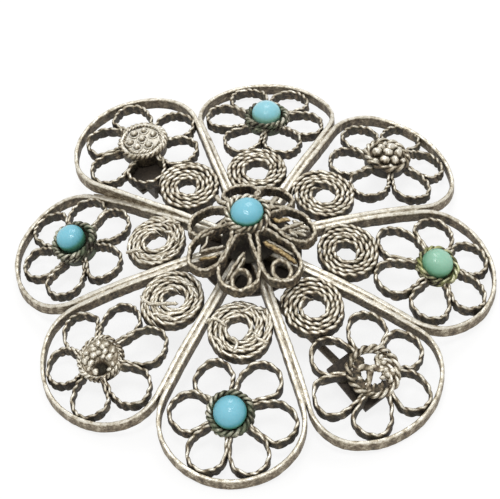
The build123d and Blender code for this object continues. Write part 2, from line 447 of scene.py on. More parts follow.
def twist(s: Array, turn: Array, lump: float, phase: float = 0.0, pairs: int = 1) -> Array:
    """Relief of strands twisted together: the size of the cosine of the way round the
    profile, less half a turn for each lump along the path. 1 on a strand, 0 in a groove.

    Args:
        s: Distance along the path.
        turn: How far round each profile point is, from 0 to 1.
        lump: Distance between two lumps.
        phase: Where the first lump is.
        pairs: Pairs of strands; more of them lie flatter along the wire.

    Returns:
        Grid of heights from 0 to 1.
    """
    return np.abs(np.cos(TAU * pairs * turn[None, :] - np.pi * s[:, None] / lump + phase))


def whole(length: float, lump: float) -> float:
    """The lump length nearest to the wanted one that fits a loop a whole number of times."""
    return length / max(1, round(length / lump))


def ball_r(drop: float) -> float:
    """Radius of the ball whose surface falls by the drop at DOME_AT from its top."""
    return (DOME_AT ** 2 + drop ** 2) / (2 * drop)


def dome_z(r: Array | float, drop: float) -> Array | float:
    """Height of a dome: the ball's surface, its top at PETAL_Z on the axis.

    Args:
        r: Distance from the axis.
        drop: Fall of the dome at DOME_AT.

    Returns:
        The height at each distance.
    """
    ball = ball_r(drop)
    return PETAL_Z - ball + np.sqrt(ball ** 2 - np.asarray(r) ** 2)


def near_middle(r: Array) -> Array:
    """1 within 3 of the axis, falling evenly to 0 at 7.5, as a column: a mask for painted shade."""
    return np.clip((7.5 - r) / 4.5, 0, 1)[:, None]


def turned(points: Array, angle: float) -> Array:
    """Points turned about the brooch's axis, by the angle's cosine and sine.

    Args:
        points: Points in space, their three numbers last.
        angle: Angle, counter-clockwise.

    Returns:
        The turned points.
    """
    c, s = math.cos(angle), math.sin(angle)
    x, y = points[..., 0], points[..., 1]
    return np.stack([x * c - y * s, x * s + y * c, points[..., 2]], -1)


def lathe(outline: Array, count: int) -> Array:
    """Turns a closed outline about Z: each point goes round by cosine and sine.

    Args:
        outline: Radius and height of each point.
        count: Number of steps round.

    Returns:
        Grid of points, one row for each step.
    """
    a = np.linspace(0, TAU, count, endpoint=False)[:, None]
    return np.stack([outline[:, 0] * np.cos(a), outline[:, 0] * np.sin(a),
                     np.broadcast_to(outline[:, 1], (count, len(outline)))], -1)


# Finishes


def node(tree: Tree, kind: str, **inputs: object) -> bpy.types.Node:
    """Adds a shader node and sets or links the named inputs.

    Args:
        tree: The material's node tree.
        kind: The node's type.
        **inputs: Socket names, with _ for a space, to a value or an output socket.

    Returns:
        The new node.
    """
    made = tree.nodes.new(kind)
    for key, value in inputs.items():
        fill(tree, made.inputs[key.replace("_", " ")], value)
    return made


def fill(tree: Tree, socket: Socket, value: object) -> None:
    """Links a socket to an output socket, or sets it to a value."""
    if isinstance(value, bpy.types.NodeSocket):
        tree.links.new(value, socket)
    else:
        socket.default_value = value


def math_node(tree: Tree, operation: str, *values: object) -> Socket:
    """Math node on one to three values or sockets.

    Args:
        tree: The material's node tree.
        operation: What it does.
        *values: What it does it to.

    Returns:
        Its result.
    """
    made = tree.nodes.new("ShaderNodeMath")
    made.operation = operation
    for socket, value in zip(made.inputs, values):
        fill(tree, socket, value)
    return made.outputs[0]


def ramp(tree: Tree, factor: Socket, *stops: tuple[float, Colour | float]) -> Socket:
    """Colour ramp through the given stops.

    Args:
        tree: The material's node tree.
        factor: What it follows.
        *stops: Place of each stop, and its colour or the level of its grey.

    Returns:
        Its colour.
    """
    made = node(tree, "ShaderNodeValToRGB", Fac=factor)
    points = made.color_ramp.elements
    while len(points) < len(stops):
        points.new(0.5)
    for point, (place, colour) in zip(points, stops):
        point.position = place
        point.color = (*(colour if isinstance(colour, tuple) else (colour,) * 3), 1.0)
    return made.outputs["Color"]


def noise(tree: Tree, scale: float, detail: float, roughness: float = 0.5) -> Socket:
    """Noise on the object's own coordinates.

    Args:
        tree: The material's node tree.
        scale: Its waves for each metre.
        detail: Its octaves.
        roughness: How strong the finer octaves are.

    Returns:
        Its value, about a half.
    """
    place = node(tree, "ShaderNodeTexCoord").outputs["Object"]
    made = node(tree, "ShaderNodeTexNoise", Vector=place, Scale=scale, Detail=detail, Roughness=roughness)
    return made.outputs["Fac"]


def wear_and_shade_of(tree: Tree) -> Socket:
    """The wear and painted shade that the mesh keeps at each point."""
    made = tree.nodes.new("ShaderNodeAttribute")
    made.attribute_name = "wear_and_shade"
    return made.outputs["Fac"]


def bumped(tree: Tree, shader: bpy.types.Node, height: Socket, strength: float, distance: float) -> None:
    """Roughens a shader's surface.

    Args:
        tree: The material's node tree.
        shader: The shader.
        height: What the bumps follow.
        strength: How strong they are.
        distance: How high they are, in metres.
    """
    bump = node(tree, "ShaderNodeBump", Strength=strength, Distance=distance, Height=height)
    tree.links.new(bump.outputs["Normal"], shader.inputs["Normal"])


def opened(name: str) -> tuple[bpy.types.Material, Tree, bpy.types.Node]:
    """A new node material, its tree and its shader."""
    material = bpy.data.materials.new(name)
    material.use_nodes = True
    return material, material.node_tree, material.node_tree.nodes["Principled BSDF"]


@dataclass(frozen=True)
class TarnishedSilver:
    """Old silver: bright where it is rubbed, brown-black in its grooves.

    Attributes:
        name: The material's name.
        deep: Colour in the grooves.
        dull: Colour halfway.
        warm: Colour of most of the metal.
        bright: Colour of the rubbed edges.
        verdigris: How strong the patches of patina are.
        patina: Colour of the patches.
        grime: How far the dirt reaches, added to or taken from the wear.
    """

    name: str
    deep: Colour = (0.022, 0.015, 0.009)
    dull: Colour = (0.175, 0.130, 0.080)
    warm: Colour = (0.56, 0.50, 0.385)
    bright: Colour = (0.92, 0.88, 0.78)
    verdigris: float = 0.0
    patina: Colour = (0.19, 0.26, 0.15)
    grime: float = 0.0

    def build(self) -> bpy.types.Material:
        """Makes the node material.

        Its level is the wear and painted shade less the grime, plus a fine and a broad noise
        about zero. Where the level is high, the metal is brighter, barer and smoother.

        Returns:
            The material.
        """
        material, tree, shader = opened(self.name)
        level = math_node(tree, "MULTIPLY_ADD", noise(tree, 3600.0, 7.0, 0.72), 1.15, -0.575 - self.grime)
        level = math_node(tree, "ADD", level, wear_and_shade_of(tree))
        level = math_node(tree, "SUBTRACT", level, 0.12)
        level = math_node(tree, "MULTIPLY_ADD", noise(tree, 420.0, 4.0, 0.55), 0.24, level)
        colour = ramp(tree, level, (0.06, self.deep), (0.34, self.dull), (0.58, self.warm),
                      (0.86, self.bright))
        if self.verdigris:
            colour = self.patched(tree, colour)
        tree.links.new(colour, shader.inputs["Base Color"])
        tree.links.new(ramp(tree, level, (0.10, 0.12), (0.60, 0.72)), shader.inputs["Metallic"])
        tree.links.new(ramp(tree, level, (0.15, 0.64), (0.60, 0.46), (0.95, 0.30)),
                       shader.inputs["Roughness"])
        bumped(tree, shader, noise(tree, 5200.0, 5.0, 0.6), 0.55, 0.00006)
        return material

    def patched(self, tree: Tree, colour: Socket) -> Socket:
        """Mixes patches of patina into a colour.

        Args:
            tree: The material's node tree.
            colour: The metal's colour.

        Returns:
            The mixed colour.
        """
        patches = ramp(tree, noise(tree, 900.0, 3.0), (0.44, 0.0), (0.64, 1.0))
        mix = tree.nodes.new("ShaderNodeMix")
        mix.data_type = "RGBA"
        tree.links.new(math_node(tree, "MULTIPLY", patches, self.verdigris), mix.inputs["Factor"])
        tree.links.new(colour, mix.inputs[COLOUR_A])
        mix.inputs[COLOUR_B].default_value = (*self.patina, 1.0)
        return mix.outputs[COLOUR_OUT]


@dataclass(frozen=True)
class Turquoise:
    """Polished turquoise, darker and greener towards its foot and paler at the top. This is
    partly the stone's own colour, partly painted shade and reflection at the foot and
    painted light at the top.

    Attributes:
        name: The material's name.
        foot: Colour at the foot, darker and greener partly as painted shade and reflection.
        body: Colour of most of the stone.
        crown: Paler colour at the top, partly painted light.
    """

    name: str
    foot: Colour
    body: Colour
    crown: Colour

    def build(self) -> bpy.types.Material:
        """Makes the node material: clouded colour by height, partly painted light and shade,
        uneven polish and fine pits.

        Returns:
            The material.
        """
        material, tree, shader = opened(self.name)
        # Colour by height: partly the stone's own, partly painted shade at the foot and painted light on the
        # top.
        height = math_node(tree, "SUBTRACT", wear_and_shade_of(tree), 0.15)
        level = math_node(tree, "MULTIPLY_ADD", noise(tree, 900.0, 5.0, 0.6), 0.30, height)
        colour = ramp(tree, level, (0.08, self.foot), (0.46, self.body), (0.95, self.crown))
        tree.links.new(colour, shader.inputs["Base Color"])
        polish = ramp(tree, noise(tree, 2400.0, 4.0), (0.3, 0.08), (0.7, 0.22))
        tree.links.new(polish, shader.inputs["Roughness"])
        shader.inputs["Specular IOR Level"].default_value = 0.5
        shader.inputs["Subsurface Weight"].default_value = 0.15
        shader.inputs["Subsurface Radius"].default_value = (0.0004, 0.0008, 0.0009)
        shader.inputs["Subsurface Scale"].default_value = 0.5
        bumped(tree, shader, noise(tree, 1300.0, 5.0), 0.80, 0.00014)
        return material


@dataclass(frozen=True)
class PaleFloor:
    """Matt white light table that the brooch lies on.

    Attributes:
        name: The material's name.
        white: Colour of the board.
        glow: Light that it gives by itself.
    """

    name: str = "pale_floor"
    white: float = 0.20
    glow: float = 0.82

    def build(self) -> bpy.types.Material:
        """Makes the node material.

        Returns:
            The material.
        """
        material, _, shader = opened(self.name)
        shader.inputs["Base Color"].default_value = (self.white, self.white, self.white, 1.0)
        shader.inputs["Roughness"].default_value = 0.9
        shader.inputs["Emission Color"].default_value = (1.0, 1.0, 1.0, 1.0)
        shader.inputs["Emission Strength"].default_value = self.glow
        return material


@dataclass
class Finishes:
    """The materials that the pieces share.

    Attributes:
        silver: Strips and ribbon loops.
        wire: Coils, rosettes and most seats.
        solder: Seams between the petals.
        collar: Collars of the blue stones.
        green_collar: Collar of the green stone.
        gilt: Gilt bits in the raised flower.
        dark: Fittings on the back and the plate under the raised flower, near-black as painted shade.
        stem: The pin's stem.
        blue: Blue stones.
        pale: The paler blue stone.
        green: The green stone.
    """

    silver: bpy.types.Material
    wire: bpy.types.Material
    solder: bpy.types.Material
    collar: bpy.types.Material
    green_collar: bpy.types.Material
    gilt: bpy.types.Material
    dark: bpy.types.Material
    stem: bpy.types.Material
    blue: bpy.types.Material
    pale: bpy.types.Material
    green: bpy.types.Material

    @classmethod
    def made(cls) -> Finishes:
        """Builds them all.

        Returns:
            The materials.
        """
        return cls(
            silver=TarnishedSilver("silver_strip", verdigris=0.12, patina=(0.36, 0.345, 0.235)).build(),
            wire=TarnishedSilver("silver_wire", verdigris=0.16, patina=(0.18, 0.18, 0.10),
                                 grime=0.01).build(),
            solder=TarnishedSilver("silver_solder", grime=0.04).build(),
            collar=TarnishedSilver("silver_collar", dull=(0.12, 0.11, 0.072), warm=(0.46, 0.44, 0.34),
                                   verdigris=0.45, grime=0.18).build(),
            green_collar=TarnishedSilver("silver_collar_green", dull=(0.13, 0.12, 0.06),
                                         warm=(0.46, 0.44, 0.28), bright=(0.84, 0.82, 0.60),
                                         verdigris=0.65, patina=(0.42, 0.45, 0.16), grime=0.04).build(),
            gilt=TarnishedSilver("gilt_wire", dull=(0.22, 0.14, 0.065), warm=(0.50, 0.37, 0.17),
                                 bright=(0.88, 0.76, 0.54), grime=0.06).build(),
            # Near-black silver: painted shade on the parts seen under the brooch.
            dark=TarnishedSilver("dark_silver", deep=(0.012, 0.009, 0.006), dull=(0.055, 0.042, 0.030),
                                 warm=(0.12, 0.095, 0.070), bright=(0.30, 0.26, 0.20), grime=-0.28).build(),
            stem=TarnishedSilver("pin_silver", dull=(0.13, 0.105, 0.075), warm=(0.25, 0.21, 0.155),
                                 bright=(0.50, 0.44, 0.36), grime=-0.36).build(),
            blue=Turquoise("turquoise_blue", (0.09, 0.29, 0.19), (0.12, 0.42, 0.51),
                           (0.23, 0.58, 0.71)).build(),
            pale=Turquoise("turquoise_pale", (0.26, 0.52, 0.40), (0.25, 0.60, 0.66),
                           (0.32, 0.66, 0.76)).build(),
            green=Turquoise("turquoise_green", (0.10, 0.24, 0.13), (0.17, 0.42, 0.27),
                            (0.33, 0.60, 0.45)).build(),
        )


# Small pieces


def bar(points: Array | Points, width: float, height: float, rng: Rng, place: Place,
        shade: float = 0.0, rough: float = 0.03) -> Patch:
    """Bent bit of flat wire through a few points, its ends tapered.

    A rectangle with round corners is carried along the softened line and dented by waves.
    It is brighter on top and on its bumps.

    Args:
        points: Points of its middle line.
        width: Its thickness.
        height: Its height.
        rng: Seeded numbers.
        place: Puts its points on the brooch.
        shade: Added to its wear.
        rough: Depth of its dents.

    Returns:
        Its surface.
    """
    path, s = resample(np.asarray(points, float), 0.08, False)
    path = smooth(path, False, 12)
    profile = Profile.box(width, height, min(width, height) * 0.42, 2)
    dents = rough * waves(s[:, None] + 2.0 * profile.turn[None, :], rng, 0.8, 5)
    grid = carry(path, False, profile, dents, tapered(s, 0.25, 0.25))
    wear_and_shade = 0.34 + 0.34 * profile.upward + 3.0 * dents + 0.10 * speckle(dents.shape, rng) + shade
    return Patch(place(grid), wear_and_shade)


def ball(middle: Array, radius: float, rng: Rng, place: Place) -> Patch:
    """Ball from pole to pole: radius times the sine and cosine of the two angles, gently
    dented, and brighter towards its top.

    Args:
        middle: Its middle, from the seat.
        radius: Its radius.
        rng: Seeded numbers.
        place: Puts its points on the brooch.

    Returns:
        Its surface.
    """
    v = np.linspace(0.03, np.pi - 0.03, 14)[:, None]
    u = np.linspace(0, TAU, 20, endpoint=False)[None, :]
    oval = ripples(u, rng, (0.11, 2)) * np.sin(v)
    flat = 0.05 * np.cos(3 * v + rng.uniform(0, RIPPLE_PHASES))
    r = radius * (1 + oval + flat)
    r = r * (1 + 0.06 * np.sin(3 * u + 2 * v + rng.uniform(0, RIPPLE_PHASES)) * np.sin(v))
    r = r * (1 + 0.13 * speckle(r.shape, rng) * np.sin(v))
    grid = middle + np.stack([r * np.sin(v) * np.cos(u), r * np.sin(v) * np.sin(u), r * np.cos(v)], -1)
    wear_and_shade = np.clip(0.40 + 0.50 * np.cos(v), 0, 1) + 0.20 * speckle(r.shape, rng)
    return Patch(place(grid), wear_and_shade)


def fine_ring(middle: Array, radius: float, place: Place) -> Patch:
    """Thin wire round a granule: a small circle turned about the granule's middle.

    Args:
        middle: The granule's middle, from the seat.
        radius: The granule's radius.
        place: Puts its points on the brooch.

    Returns:
        Its surface, bright on top.
    """
    b = np.linspace(0, TAU, 8, endpoint=False)
    circle = np.stack([radius + 0.14 + 0.08 * np.cos(b), middle[2] - 0.13 + 0.08 * np.sin(b)], 1)
    grid = lathe(circle, 28) + [middle[0], middle[1], 0]
    return Patch(place(grid), 0.62 + 0.34 * np.sin(b) + 0 * grid[..., 0], True)


def cabochon(radius: float, base: float, side: float, crown: float, rng: Rng, place: Place) -> Patch:
    """Round stone: a straight side, then a quarter of an oval up to the top.

    Args:
        radius: Radius of the stone.
        base: Height of its foot above the seat.
        side: Height of the top of its straight side.
        crown: Height of the round top above that.
        rng: Seeded numbers.
        place: Puts points given from the seat on the brooch.

    Returns:
        Its surface, whose wear and shade value is the share of the crown's height.
    """
    q = np.linspace(0, np.pi / 2 - 0.02, 22)
    r = np.concatenate([[0.01, radius - 0.05, radius], radius * np.cos(q)])[:, None]
    z = np.concatenate([[base, base, base + 0.05], side + crown * np.sin(q)])[:, None]
    u = np.linspace(0, TAU, 56, endpoint=False)
    uneven = 1 - 0.012 * (1 + ripples(u, rng, (1, 2)))
    lean = 0.02 * np.sin(u + 1)[None, :] * (r > 0.2)
    grid = np.stack([r * np.cos(u) * uneven, r * np.sin(u) * uneven, z + lean], -1)
    wear_and_shade = np.clip((z - side) / crown, 0, 1) ** 0.8 + 0 * u
    return Patch(place(grid), wear_and_shade)


@dataclass(frozen=True)
class Wire:
    """Twisted wire rolled flat and set on edge.

    Attributes:
        width: Thickness.
        height: Height.
        lump: Distance between two lumps.
        depth: Depth of the grooves.
        pairs: Pairs of strands.
        shine: Added to its wear.
        stray: How far a coil of it strays from its spiral.
    """

    width: float
    height: float
    lump: float
    depth: float
    pairs: int = 1
    shine: float = 0.0
    stray: float = 0.05


@dataclass(frozen=True)
class Rope:
    """Two round strands twisted together and bent to a ring.

    Attributes:
        radius: Radius of the ring.
        height: Height of its middle above the seat.
        half: Half the rope's thickness.
        lump: Distance between two lumps.
    """

    radius: float
    height: float
    half: float
    lump: float

    def patches(self, rng: Rng, place: Place) -> list[Patch]:
        """Surfaces of the two strands.

        The rope's middle goes round at the radius. Each strand's middle circles it at half
        the rope's size, half a turn for each lump, and each strand is a tube round its middle.
        Ripples move the rope, thicken it, hurry its twist and brighten it. It is brightest
        far from its own middle and on top.

        Args:
            rng: Seeded numbers.
            place: Puts points given from the seat on the brooch.

        Returns:
            One surface for each strand.
        """
        lumps = max(2, 2 * round(self.radius * TAU / self.lump / 2))
        a = np.linspace(0, TAU, lumps * 8, endpoint=False)
        wobble = ripples(a, rng, (0.035, 3), (0.025, 7))
        swell = ripples(a, rng, (0.05, 5), (0.04, 11))
        slip = 0.50 * ripples(a, rng, (1, 2), (0.7, 5))
        bright = ripples(a, rng, (0.11, 1), (0.09, 3))
        out = np.stack([np.cos(a), np.sin(a), 0 * a], 1)
        middle = self.radius * out + [0, 0, self.height]
        b = np.linspace(0, TAU, 8, endpoint=False)[None, :, None]
        patches = []
        for strand in range(2):
            phase = a / TAU * lumps * np.pi + strand * np.pi + slip
            core = (self.radius + wobble + self.half * 0.5 * np.cos(phase))[:, None] * out
            core[:, 2] = self.height + wobble + self.half * 0.5 * np.sin(phase)
            t = tangents(core, True)
            side = np.cross(UP, t)
            side /= np.linalg.norm(side, axis=1, keepdims=True)
            lift = np.cross(t, side)
            tube = self.half * (0.54 + swell[:, None] + 0.06 * speckle((len(a), b.size), rng))
            grid = core[:, None] + tube[..., None] * (np.cos(b) * side[:, None] + np.sin(b) * lift[:, None])
            depth = np.linalg.norm(grid - middle[:, None], axis=2) / self.half
            up = (grid[..., 2] - self.height) / self.half
            wear_and_shade = 0.02 + 0.44 * np.clip(depth, 0, 1) ** 3 + 0.28 * up + 0.10 * speckle(depth.shape, rng)
            patches.append(Patch(place(grid), wear_and_shade + bright[:, None], True))
        return patches


@dataclass(frozen=True)
class Seat:
    """The cup in the middle of a rosette, with its ropes and granules.

    Attributes:
        hole: Radius of the cup inside.
        floor: Height of its floor.
        pierced: True where the floor is gone.
        ropes: Twisted wires round it.
        grains: Angle in degrees as the photograph shows it, distance from the middle,
            height and radius of each granule.
        ringed: True where each granule has a fine wire round it.
        crust: How bright the floor is.
        dent: Place of a hole in the floor, to the right and up as the photograph shows it,
            and its radius.
        scraps: Arcs of broken floor: radius, height, width, start and end in degrees as the
            photograph shows them, and how bright each is.
        bars: Bars across the hole: points to the right, up and out as the photograph shows
            them.
    """

    hole: float = 1.66
    floor: float = -0.02
    pierced: bool = False
    ropes: tuple[Rope, ...] = ()
    grains: tuple[tuple[float, float, float, float], ...] = ()
    ringed: bool = False
    crust: float = 0.06
    dent: tuple[float, float, float] | None = None
    scraps: tuple[tuple[float, float, float, float, float, float], ...] = ()
    bars: tuple[Points, ...] = ()


SEATS = {
    Setting.BLUE: Seat(ropes=(Rope(2.00, 0.56, 0.32, 0.62), Rope(2.10, 0.04, 0.24, 0.54))),
    Setting.GREEN: Seat(hole=1.60, ropes=(Rope(1.90, 0.54, 0.29, 0.80), Rope(1.98, 0.04, 0.22, 0.66))),
    Setting.CLUSTER: Seat(
        hole=1.80, floor=0.16, crust=0.22, ropes=(Rope(2.10, 0.34, 0.33, 1.00),),
        grains=((0, 0.0, 0.70, 0.46), (5, 1.08, 0.62, 0.48), (62, 1.08, 0.60, 0.46), (118, 1.12, 0.46, 0.38),
                (185, 1.10, 0.60, 0.47), (245, 1.08, 0.58, 0.46), (303, 1.10, 0.58, 0.45),
                (215, 1.70, 0.34, 0.32), (330, 1.70, 0.40, 0.32), (90, 1.66, 0.34, 0.30),
                (30, 1.72, 0.36, 0.30), (275, 1.74, 0.34, 0.28), (58, 1.76, 0.34, 0.26))),
    Setting.DISC: Seat(
        hole=2.04, floor=0.62, ringed=True, crust=0.62,
        ropes=(Rope(2.26, 0.42, 0.30, 0.52), Rope(1.86, 0.70, 0.13, 0.36), Rope(1.98, -0.15, 0.22, 0.5)),
        grains=((0, 0.0, 0.84, 0.35), (25, 1.22, 0.80, 0.33), (80, 1.18, 0.80, 0.27), (135, 1.18, 0.82, 0.34),
                (190, 1.28, 0.82, 0.33), (240, 1.16, 0.82, 0.33), (305, 1.12, 0.82, 0.34))),
    Setting.WORN: Seat(
        hole=1.86, floor=0.34, crust=0.52, dent=(0.0, -1.02, 0.68),
        ropes=(Rope(2.10, 0.34, 0.25, 0.50), Rope(2.16, -0.08, 0.20, 0.44)),
        grains=tuple((18 + 33 * n, 1.46, 0.42, 0.26 + 0.04 * (n % 3)) for n in range(8))
        + ((150, 0.62, 0.50, 0.36), (90, 0.50, 0.52, 0.34), (38, 0.80, 0.50, 0.36), (205, 0.95, 0.50, 0.37),
           (-10, 1.02, 0.48, 0.37), (120, 1.05, 0.50, 0.32), (62, 1.10, 0.48, 0.30), (300, 1.62, 0.36, 0.24),
           (325, 1.56, 0.38, 0.26), (5, 0.40, 0.46, 0.28), (175, 1.25, 0.44, 0.28))),
    Setting.OPEN: Seat(
        hole=2.12, pierced=True, ropes=(Rope(2.40, 0.42, 0.33, 0.80), Rope(2.18, 0.06, 0.26, 0.60)),
        grains=((-17, 1.42, 0.30, 0.36), (38, 1.40, 0.30, 0.28), (20, 0.95, 0.22, 0.26),
                (5, 1.20, 0.36, 0.30), (0, 1.85, 0.34, 0.28), (60, 1.70, 0.30, 0.26),
                (-35, 1.05, 0.20, 0.24), (50, 0.85, 0.20, 0.22), (205, 1.45, 0.10, 0.24),
                (235, 1.45, 0.05, 0.22)),
        # The first scrap is near-black: painted shade inside the seat's left side.
        scraps=((1.66, 0.02, 0.90, 118, 330, -0.5), (1.46, 0.10, 1.25, -32, 80, -0.22),
                (1.80, 0.32, 0.46, -40, 60, -0.05)),
        bars=(((-1.6, 0.40, 0.05), (-0.7, 0.52, 0.15), (0.2, 0.38, 0.25), (1.2, 0.20, 0.3)),
              ((-0.30, 0.40, 0.2), (-0.28, -0.40, 0.12), (-0.55, -1.10, 0.06), (-0.95, -1.75, 0.0)))),
}


# Petals


@dataclass
class Petal:
    """One petal: strip, coil, rosette and what is in the rosette.

    Attributes:
        number: Its number, 1 on +X and counter-clockwise from there.
        turns: Angles in degrees away from an even eighth: its right neighbour's, its own
            and its left neighbour's.
        reach: Centre line of the tip, from the axis.
        tip_r: Radius of the tip's centre line.
        shoulder_r: Radius of the shoulders' centre line.
        drop: Fall of the dome at DOME_AT.
        lift: Height of the rosette's middle above its seat.
        setting: What sits in the rosette.
        coil_hole: Radius of the hole in the coil.
        seat_shift: How far the seat is off its place, to the right and up as the photograph
            shows it.
        stone: The stone's radius and its own shift to the right and up.
        pale: True where the stone is a paler blue.
        nudges: The same shift for each of the six rings.
        ring_wire: The rings' wire.
        coil_wire: The coil's wire.
        frays: Loose strands on the coil: points to the right and up of its middle, as the
            photograph shows them.
        half: Half the angle between its sides, worked out.
        angle: Its direction, worked out.
        rosette: Distance of the rosette's middle from the axis, worked out.
        coil: Distance of the coil's middle from the axis, worked out.
        coil_r: Outer radius of the coil, worked out.
        finishes: The materials, given when it is built.
    """

    number: int
    turns: tuple[float, float, float]
    reach: float
    tip_r: float
    shoulder_r: float
    drop: float
    lift: float
    setting: Setting
    coil_hole: float
    seat_shift: tuple[float, float] = (0.0, 0.0)
    stone: tuple[float, float, float] = (STONE_R, 0.0, 0.0)
    pale: bool = False
    nudges: tuple[tuple[float, float], ...] = ((0.0, 0.0),) * 6
    ring_wire: Wire = Wire(0.33, 1.28, 0.88, 0.15)
    coil_wire: Wire = Wire(0.41, 1.28, 0.90, 0.10, 1, 0.04)
    frays: tuple[tuple[tuple[float, float], ...], ...] = ()
    half: float = field(init=False)
    angle: float = field(init=False)
    rosette: float = field(init=False)
    coil: float = field(init=False)
    coil_r: float = field(init=False)
    finishes: Finishes = field(init=False)

    def __post_init__(self) -> None:
        """Works out the places that the solids have too.

        The sides lie halfway to the neighbours. The two outer rings of the rosette touch the
        tip's arc, and the coil touches both sides and the two inner rings, which gives its
        place by a quadratic equation.
        """
        right, here, left = self.turns
        high, low = (here + left + 45) / 2, (here + right - 45) / 2
        self.half = math.radians((high - low) / 2)
        self.angle = math.radians(45 * (self.number - 1) + (high + low) / 2)
        side, ahead = RING_PITCH / 2, RING_PITCH * math.cos(math.pi / 6)
        room = self.tip_r - STRIP_T / 2 + LAP - RING_OUT
        self.rosette = self.reach - self.tip_r - ahead + math.sqrt(room ** 2 - side ** 2)
        back, s = self.rosette - ahead, math.sin(self.half)
        wall = PETAL_GAP / 2 + STRIP_T - LAP
        k = RING_OUT - LAP - wall
        b = back + s * k
        self.coil = (b - math.sqrt(b ** 2 - (1 - s ** 2) * (back ** 2 - k ** 2 + side ** 2))) / (1 - s ** 2)
        self.coil_r = self.coil * s - wall

    @property
    def name(self) -> str:
        """The CAD node's name."""
        return f"petal_{self.number}"

    def rng(self, salt: int) -> Rng:
        """Seeded numbers for one piece of this petal."""
        return np.random.default_rng(1000 * self.number + salt)

    def seen(self, angle: float) -> float:
        """Angle in degrees as the photograph shows it, as an angle of the petal's own."""
        return math.radians(angle + HEADING) - self.angle

    def shown(self, shift: Array | tuple) -> Array:
        """Shifts to the right and up in the photograph, in the petal's own directions.

        Args:
            shift: One shift or several, their two numbers last.

        Returns:
            The same shifts in space, level.
        """
        level = np.asarray(shift, float)
        return turned(np.concatenate([level, 0 * level[..., :1]], -1), self.seen(0))

    def around(self, grid: Array) -> Array:
        """Points of the petal as it lies along +X, turned into place."""
        return turned(grid, self.angle)

    def raised(self, plan: Array, down: Array | float) -> Array:
        """Puts plan points on the dome.

        Args:
            plan: Points in plan.
            down: How far they are below the dome.

        Returns:
            The points in space.
        """
        r = np.hypot(plan[:, 0], plan[:, 1])
        return np.column_stack([plan, dome_z(r, self.drop) - down])

    def seated(self, grid: Array) -> Array:
        """Puts points given from the seat on the brooch.

        The seat leans as the dome does there, so its height runs along the ball's radius. It
        is shifted as the photograph shows it.

        Args:
            grid: Points outwards, to the left and up from the seat.

        Returns:
            The points on the brooch.
        """
        tilt = math.asin(self.rosette / ball_r(self.drop))
        out = np.array([math.cos(tilt), 0, -math.sin(tilt)])
        up = np.array([math.sin(tilt), 0, math.cos(tilt)])
        middle = np.array([self.rosette, 0, dome_z(self.rosette, self.drop) - SEAT_DEPTH]) + self.lift * up
        grid = grid + self.shown(self.seat_shift)
        return self.around(middle + grid[..., :1] * out + grid[..., 1:2] * LEFT + grid[..., 2:] * up)

    def shoulder(self) -> tuple[float, float, float]:
        """Centre of the left shoulder's arc, which touches the straight side and the tip's arc.

        Returns:
            Its place along the petal and across it, and the angle at which it meets the tip's.
        """
        off = (PETAL_GAP + STRIP_T) / 2
        tip_u, lift = self.reach - self.tip_r, self.tip_r - self.shoulder_r
        turn = self.half - math.asin((self.shoulder_r + off - tip_u * math.sin(self.half)) / lift)
        return tip_u + lift * math.cos(turn), lift * math.sin(turn), turn

    def outline(self) -> Array:
        """Centre line of the strip in plan: two sides, two shoulder arcs and the tip's arc.

        Returns:
            Its points, from the left side's root round to the right side's.
        """
        cu, cv, turn = self.shoulder()
        start, off = 1.75, (PETAL_GAP + STRIP_T) / 2
        root = np.array([[start, start * math.tan(self.half) - off / math.cos(self.half)]])
        shoulder = arc(cu, cv, self.shoulder_r, self.half + math.pi / 2, turn, 40)
        tip = arc(self.reach - self.tip_r, 0, self.tip_r, turn, -turn, 60)
        upper = np.vstack([root, shoulder])
        return np.vstack([upper, tip[1:-1], upper[::-1] * [1, -1]])

    def parting(self) -> float:
        """Distance from the axis at which the petal's straight sides end."""
        cu, cv, _ = self.shoulder()
        out = cu - self.shoulder_r * math.sin(self.half)
        return math.hypot(out, cv + self.shoulder_r * math.cos(self.half))

    def strip(self) -> bpy.types.Object:
        """Flattened wire on edge round the petal, a little hammered, thinner round the tip.

        A rectangle with round corners is carried along the outline. Waves move it sideways
        and up, stretch it and dent it. It is brighter on top and on its bumps, and darker
        towards its foot. Its darker inner side and its darkening near the middle of the brooch
        are painted shade.

        Returns:
            The piece, which stands for the petal's solid.
        """
        rng = self.rng(1)
        plan, s = resample(self.outline(), 0.15, False)
        plan = smooth(plan, False, 6)
        tip = np.clip((plan[:, 0] - self.reach + self.tip_r) / 3.0, 0, 1)
        tip = tip * tip * (3 - 2 * tip)
        plan = plan + leftward(plan, False) * (waves(s, rng, 9.0) * 0.035 + 0.05 * tip)[:, None]
        path = self.raised(plan, STRIP_H / 2 + 0.03 * waves(s, rng, 5.0))
        profile = Profile.box(STRIP_T, STRIP_H, 0.15, 5)
        top, across, height = profile.upward, profile.points[None, :, 0], profile.points[None, :, 1]
        stretch = np.stack([1 - 0.20 * tip + 0.07 * waves(s, rng, 2.6), 1 + 0.02 * waves(s, rng, 6.0)], 1)
        dents = 0.012 * waves(s[:, None] + 4.0 * profile.turn[None, :], rng, 1.0, 5)
        dents = dents + 0.006 * speckle(dents.shape, rng)
        grid = carry(path, False, profile, dents, stretch)
        wear_and_shade = 0.34 + 0.39 * top + 2.4 * dents + 0.08 * waves(s, rng, 1.1, 6)[:, None]
        wear_and_shade = wear_and_shade + 0.18 * speckle(dents.shape, rng) * (0.35 + 0.65 * np.abs(top))
        # The inner side is darker as painted shade, and the strip also darkens towards its foot.
        wear_and_shade = wear_and_shade - 0.10 * (across < 0) + 0.10 * (height / STRIP_H)
        # Darker near the middle of the brooch: painted shade under the raised flower.
        wear_and_shade = wear_and_shade - 0.07 * near_middle(np.hypot(plan[:, 0], plan[:, 1]))
        wear_and_shade = wear_and_shade + 0.10 * (1 - tip[:, None]) * np.clip(top, 0, 1)
        return store(f"{self.name}_strip", [Patch(self.around(grid), wear_and_shade)], self.finishes.silver, "brooch",
                     (self.name,))

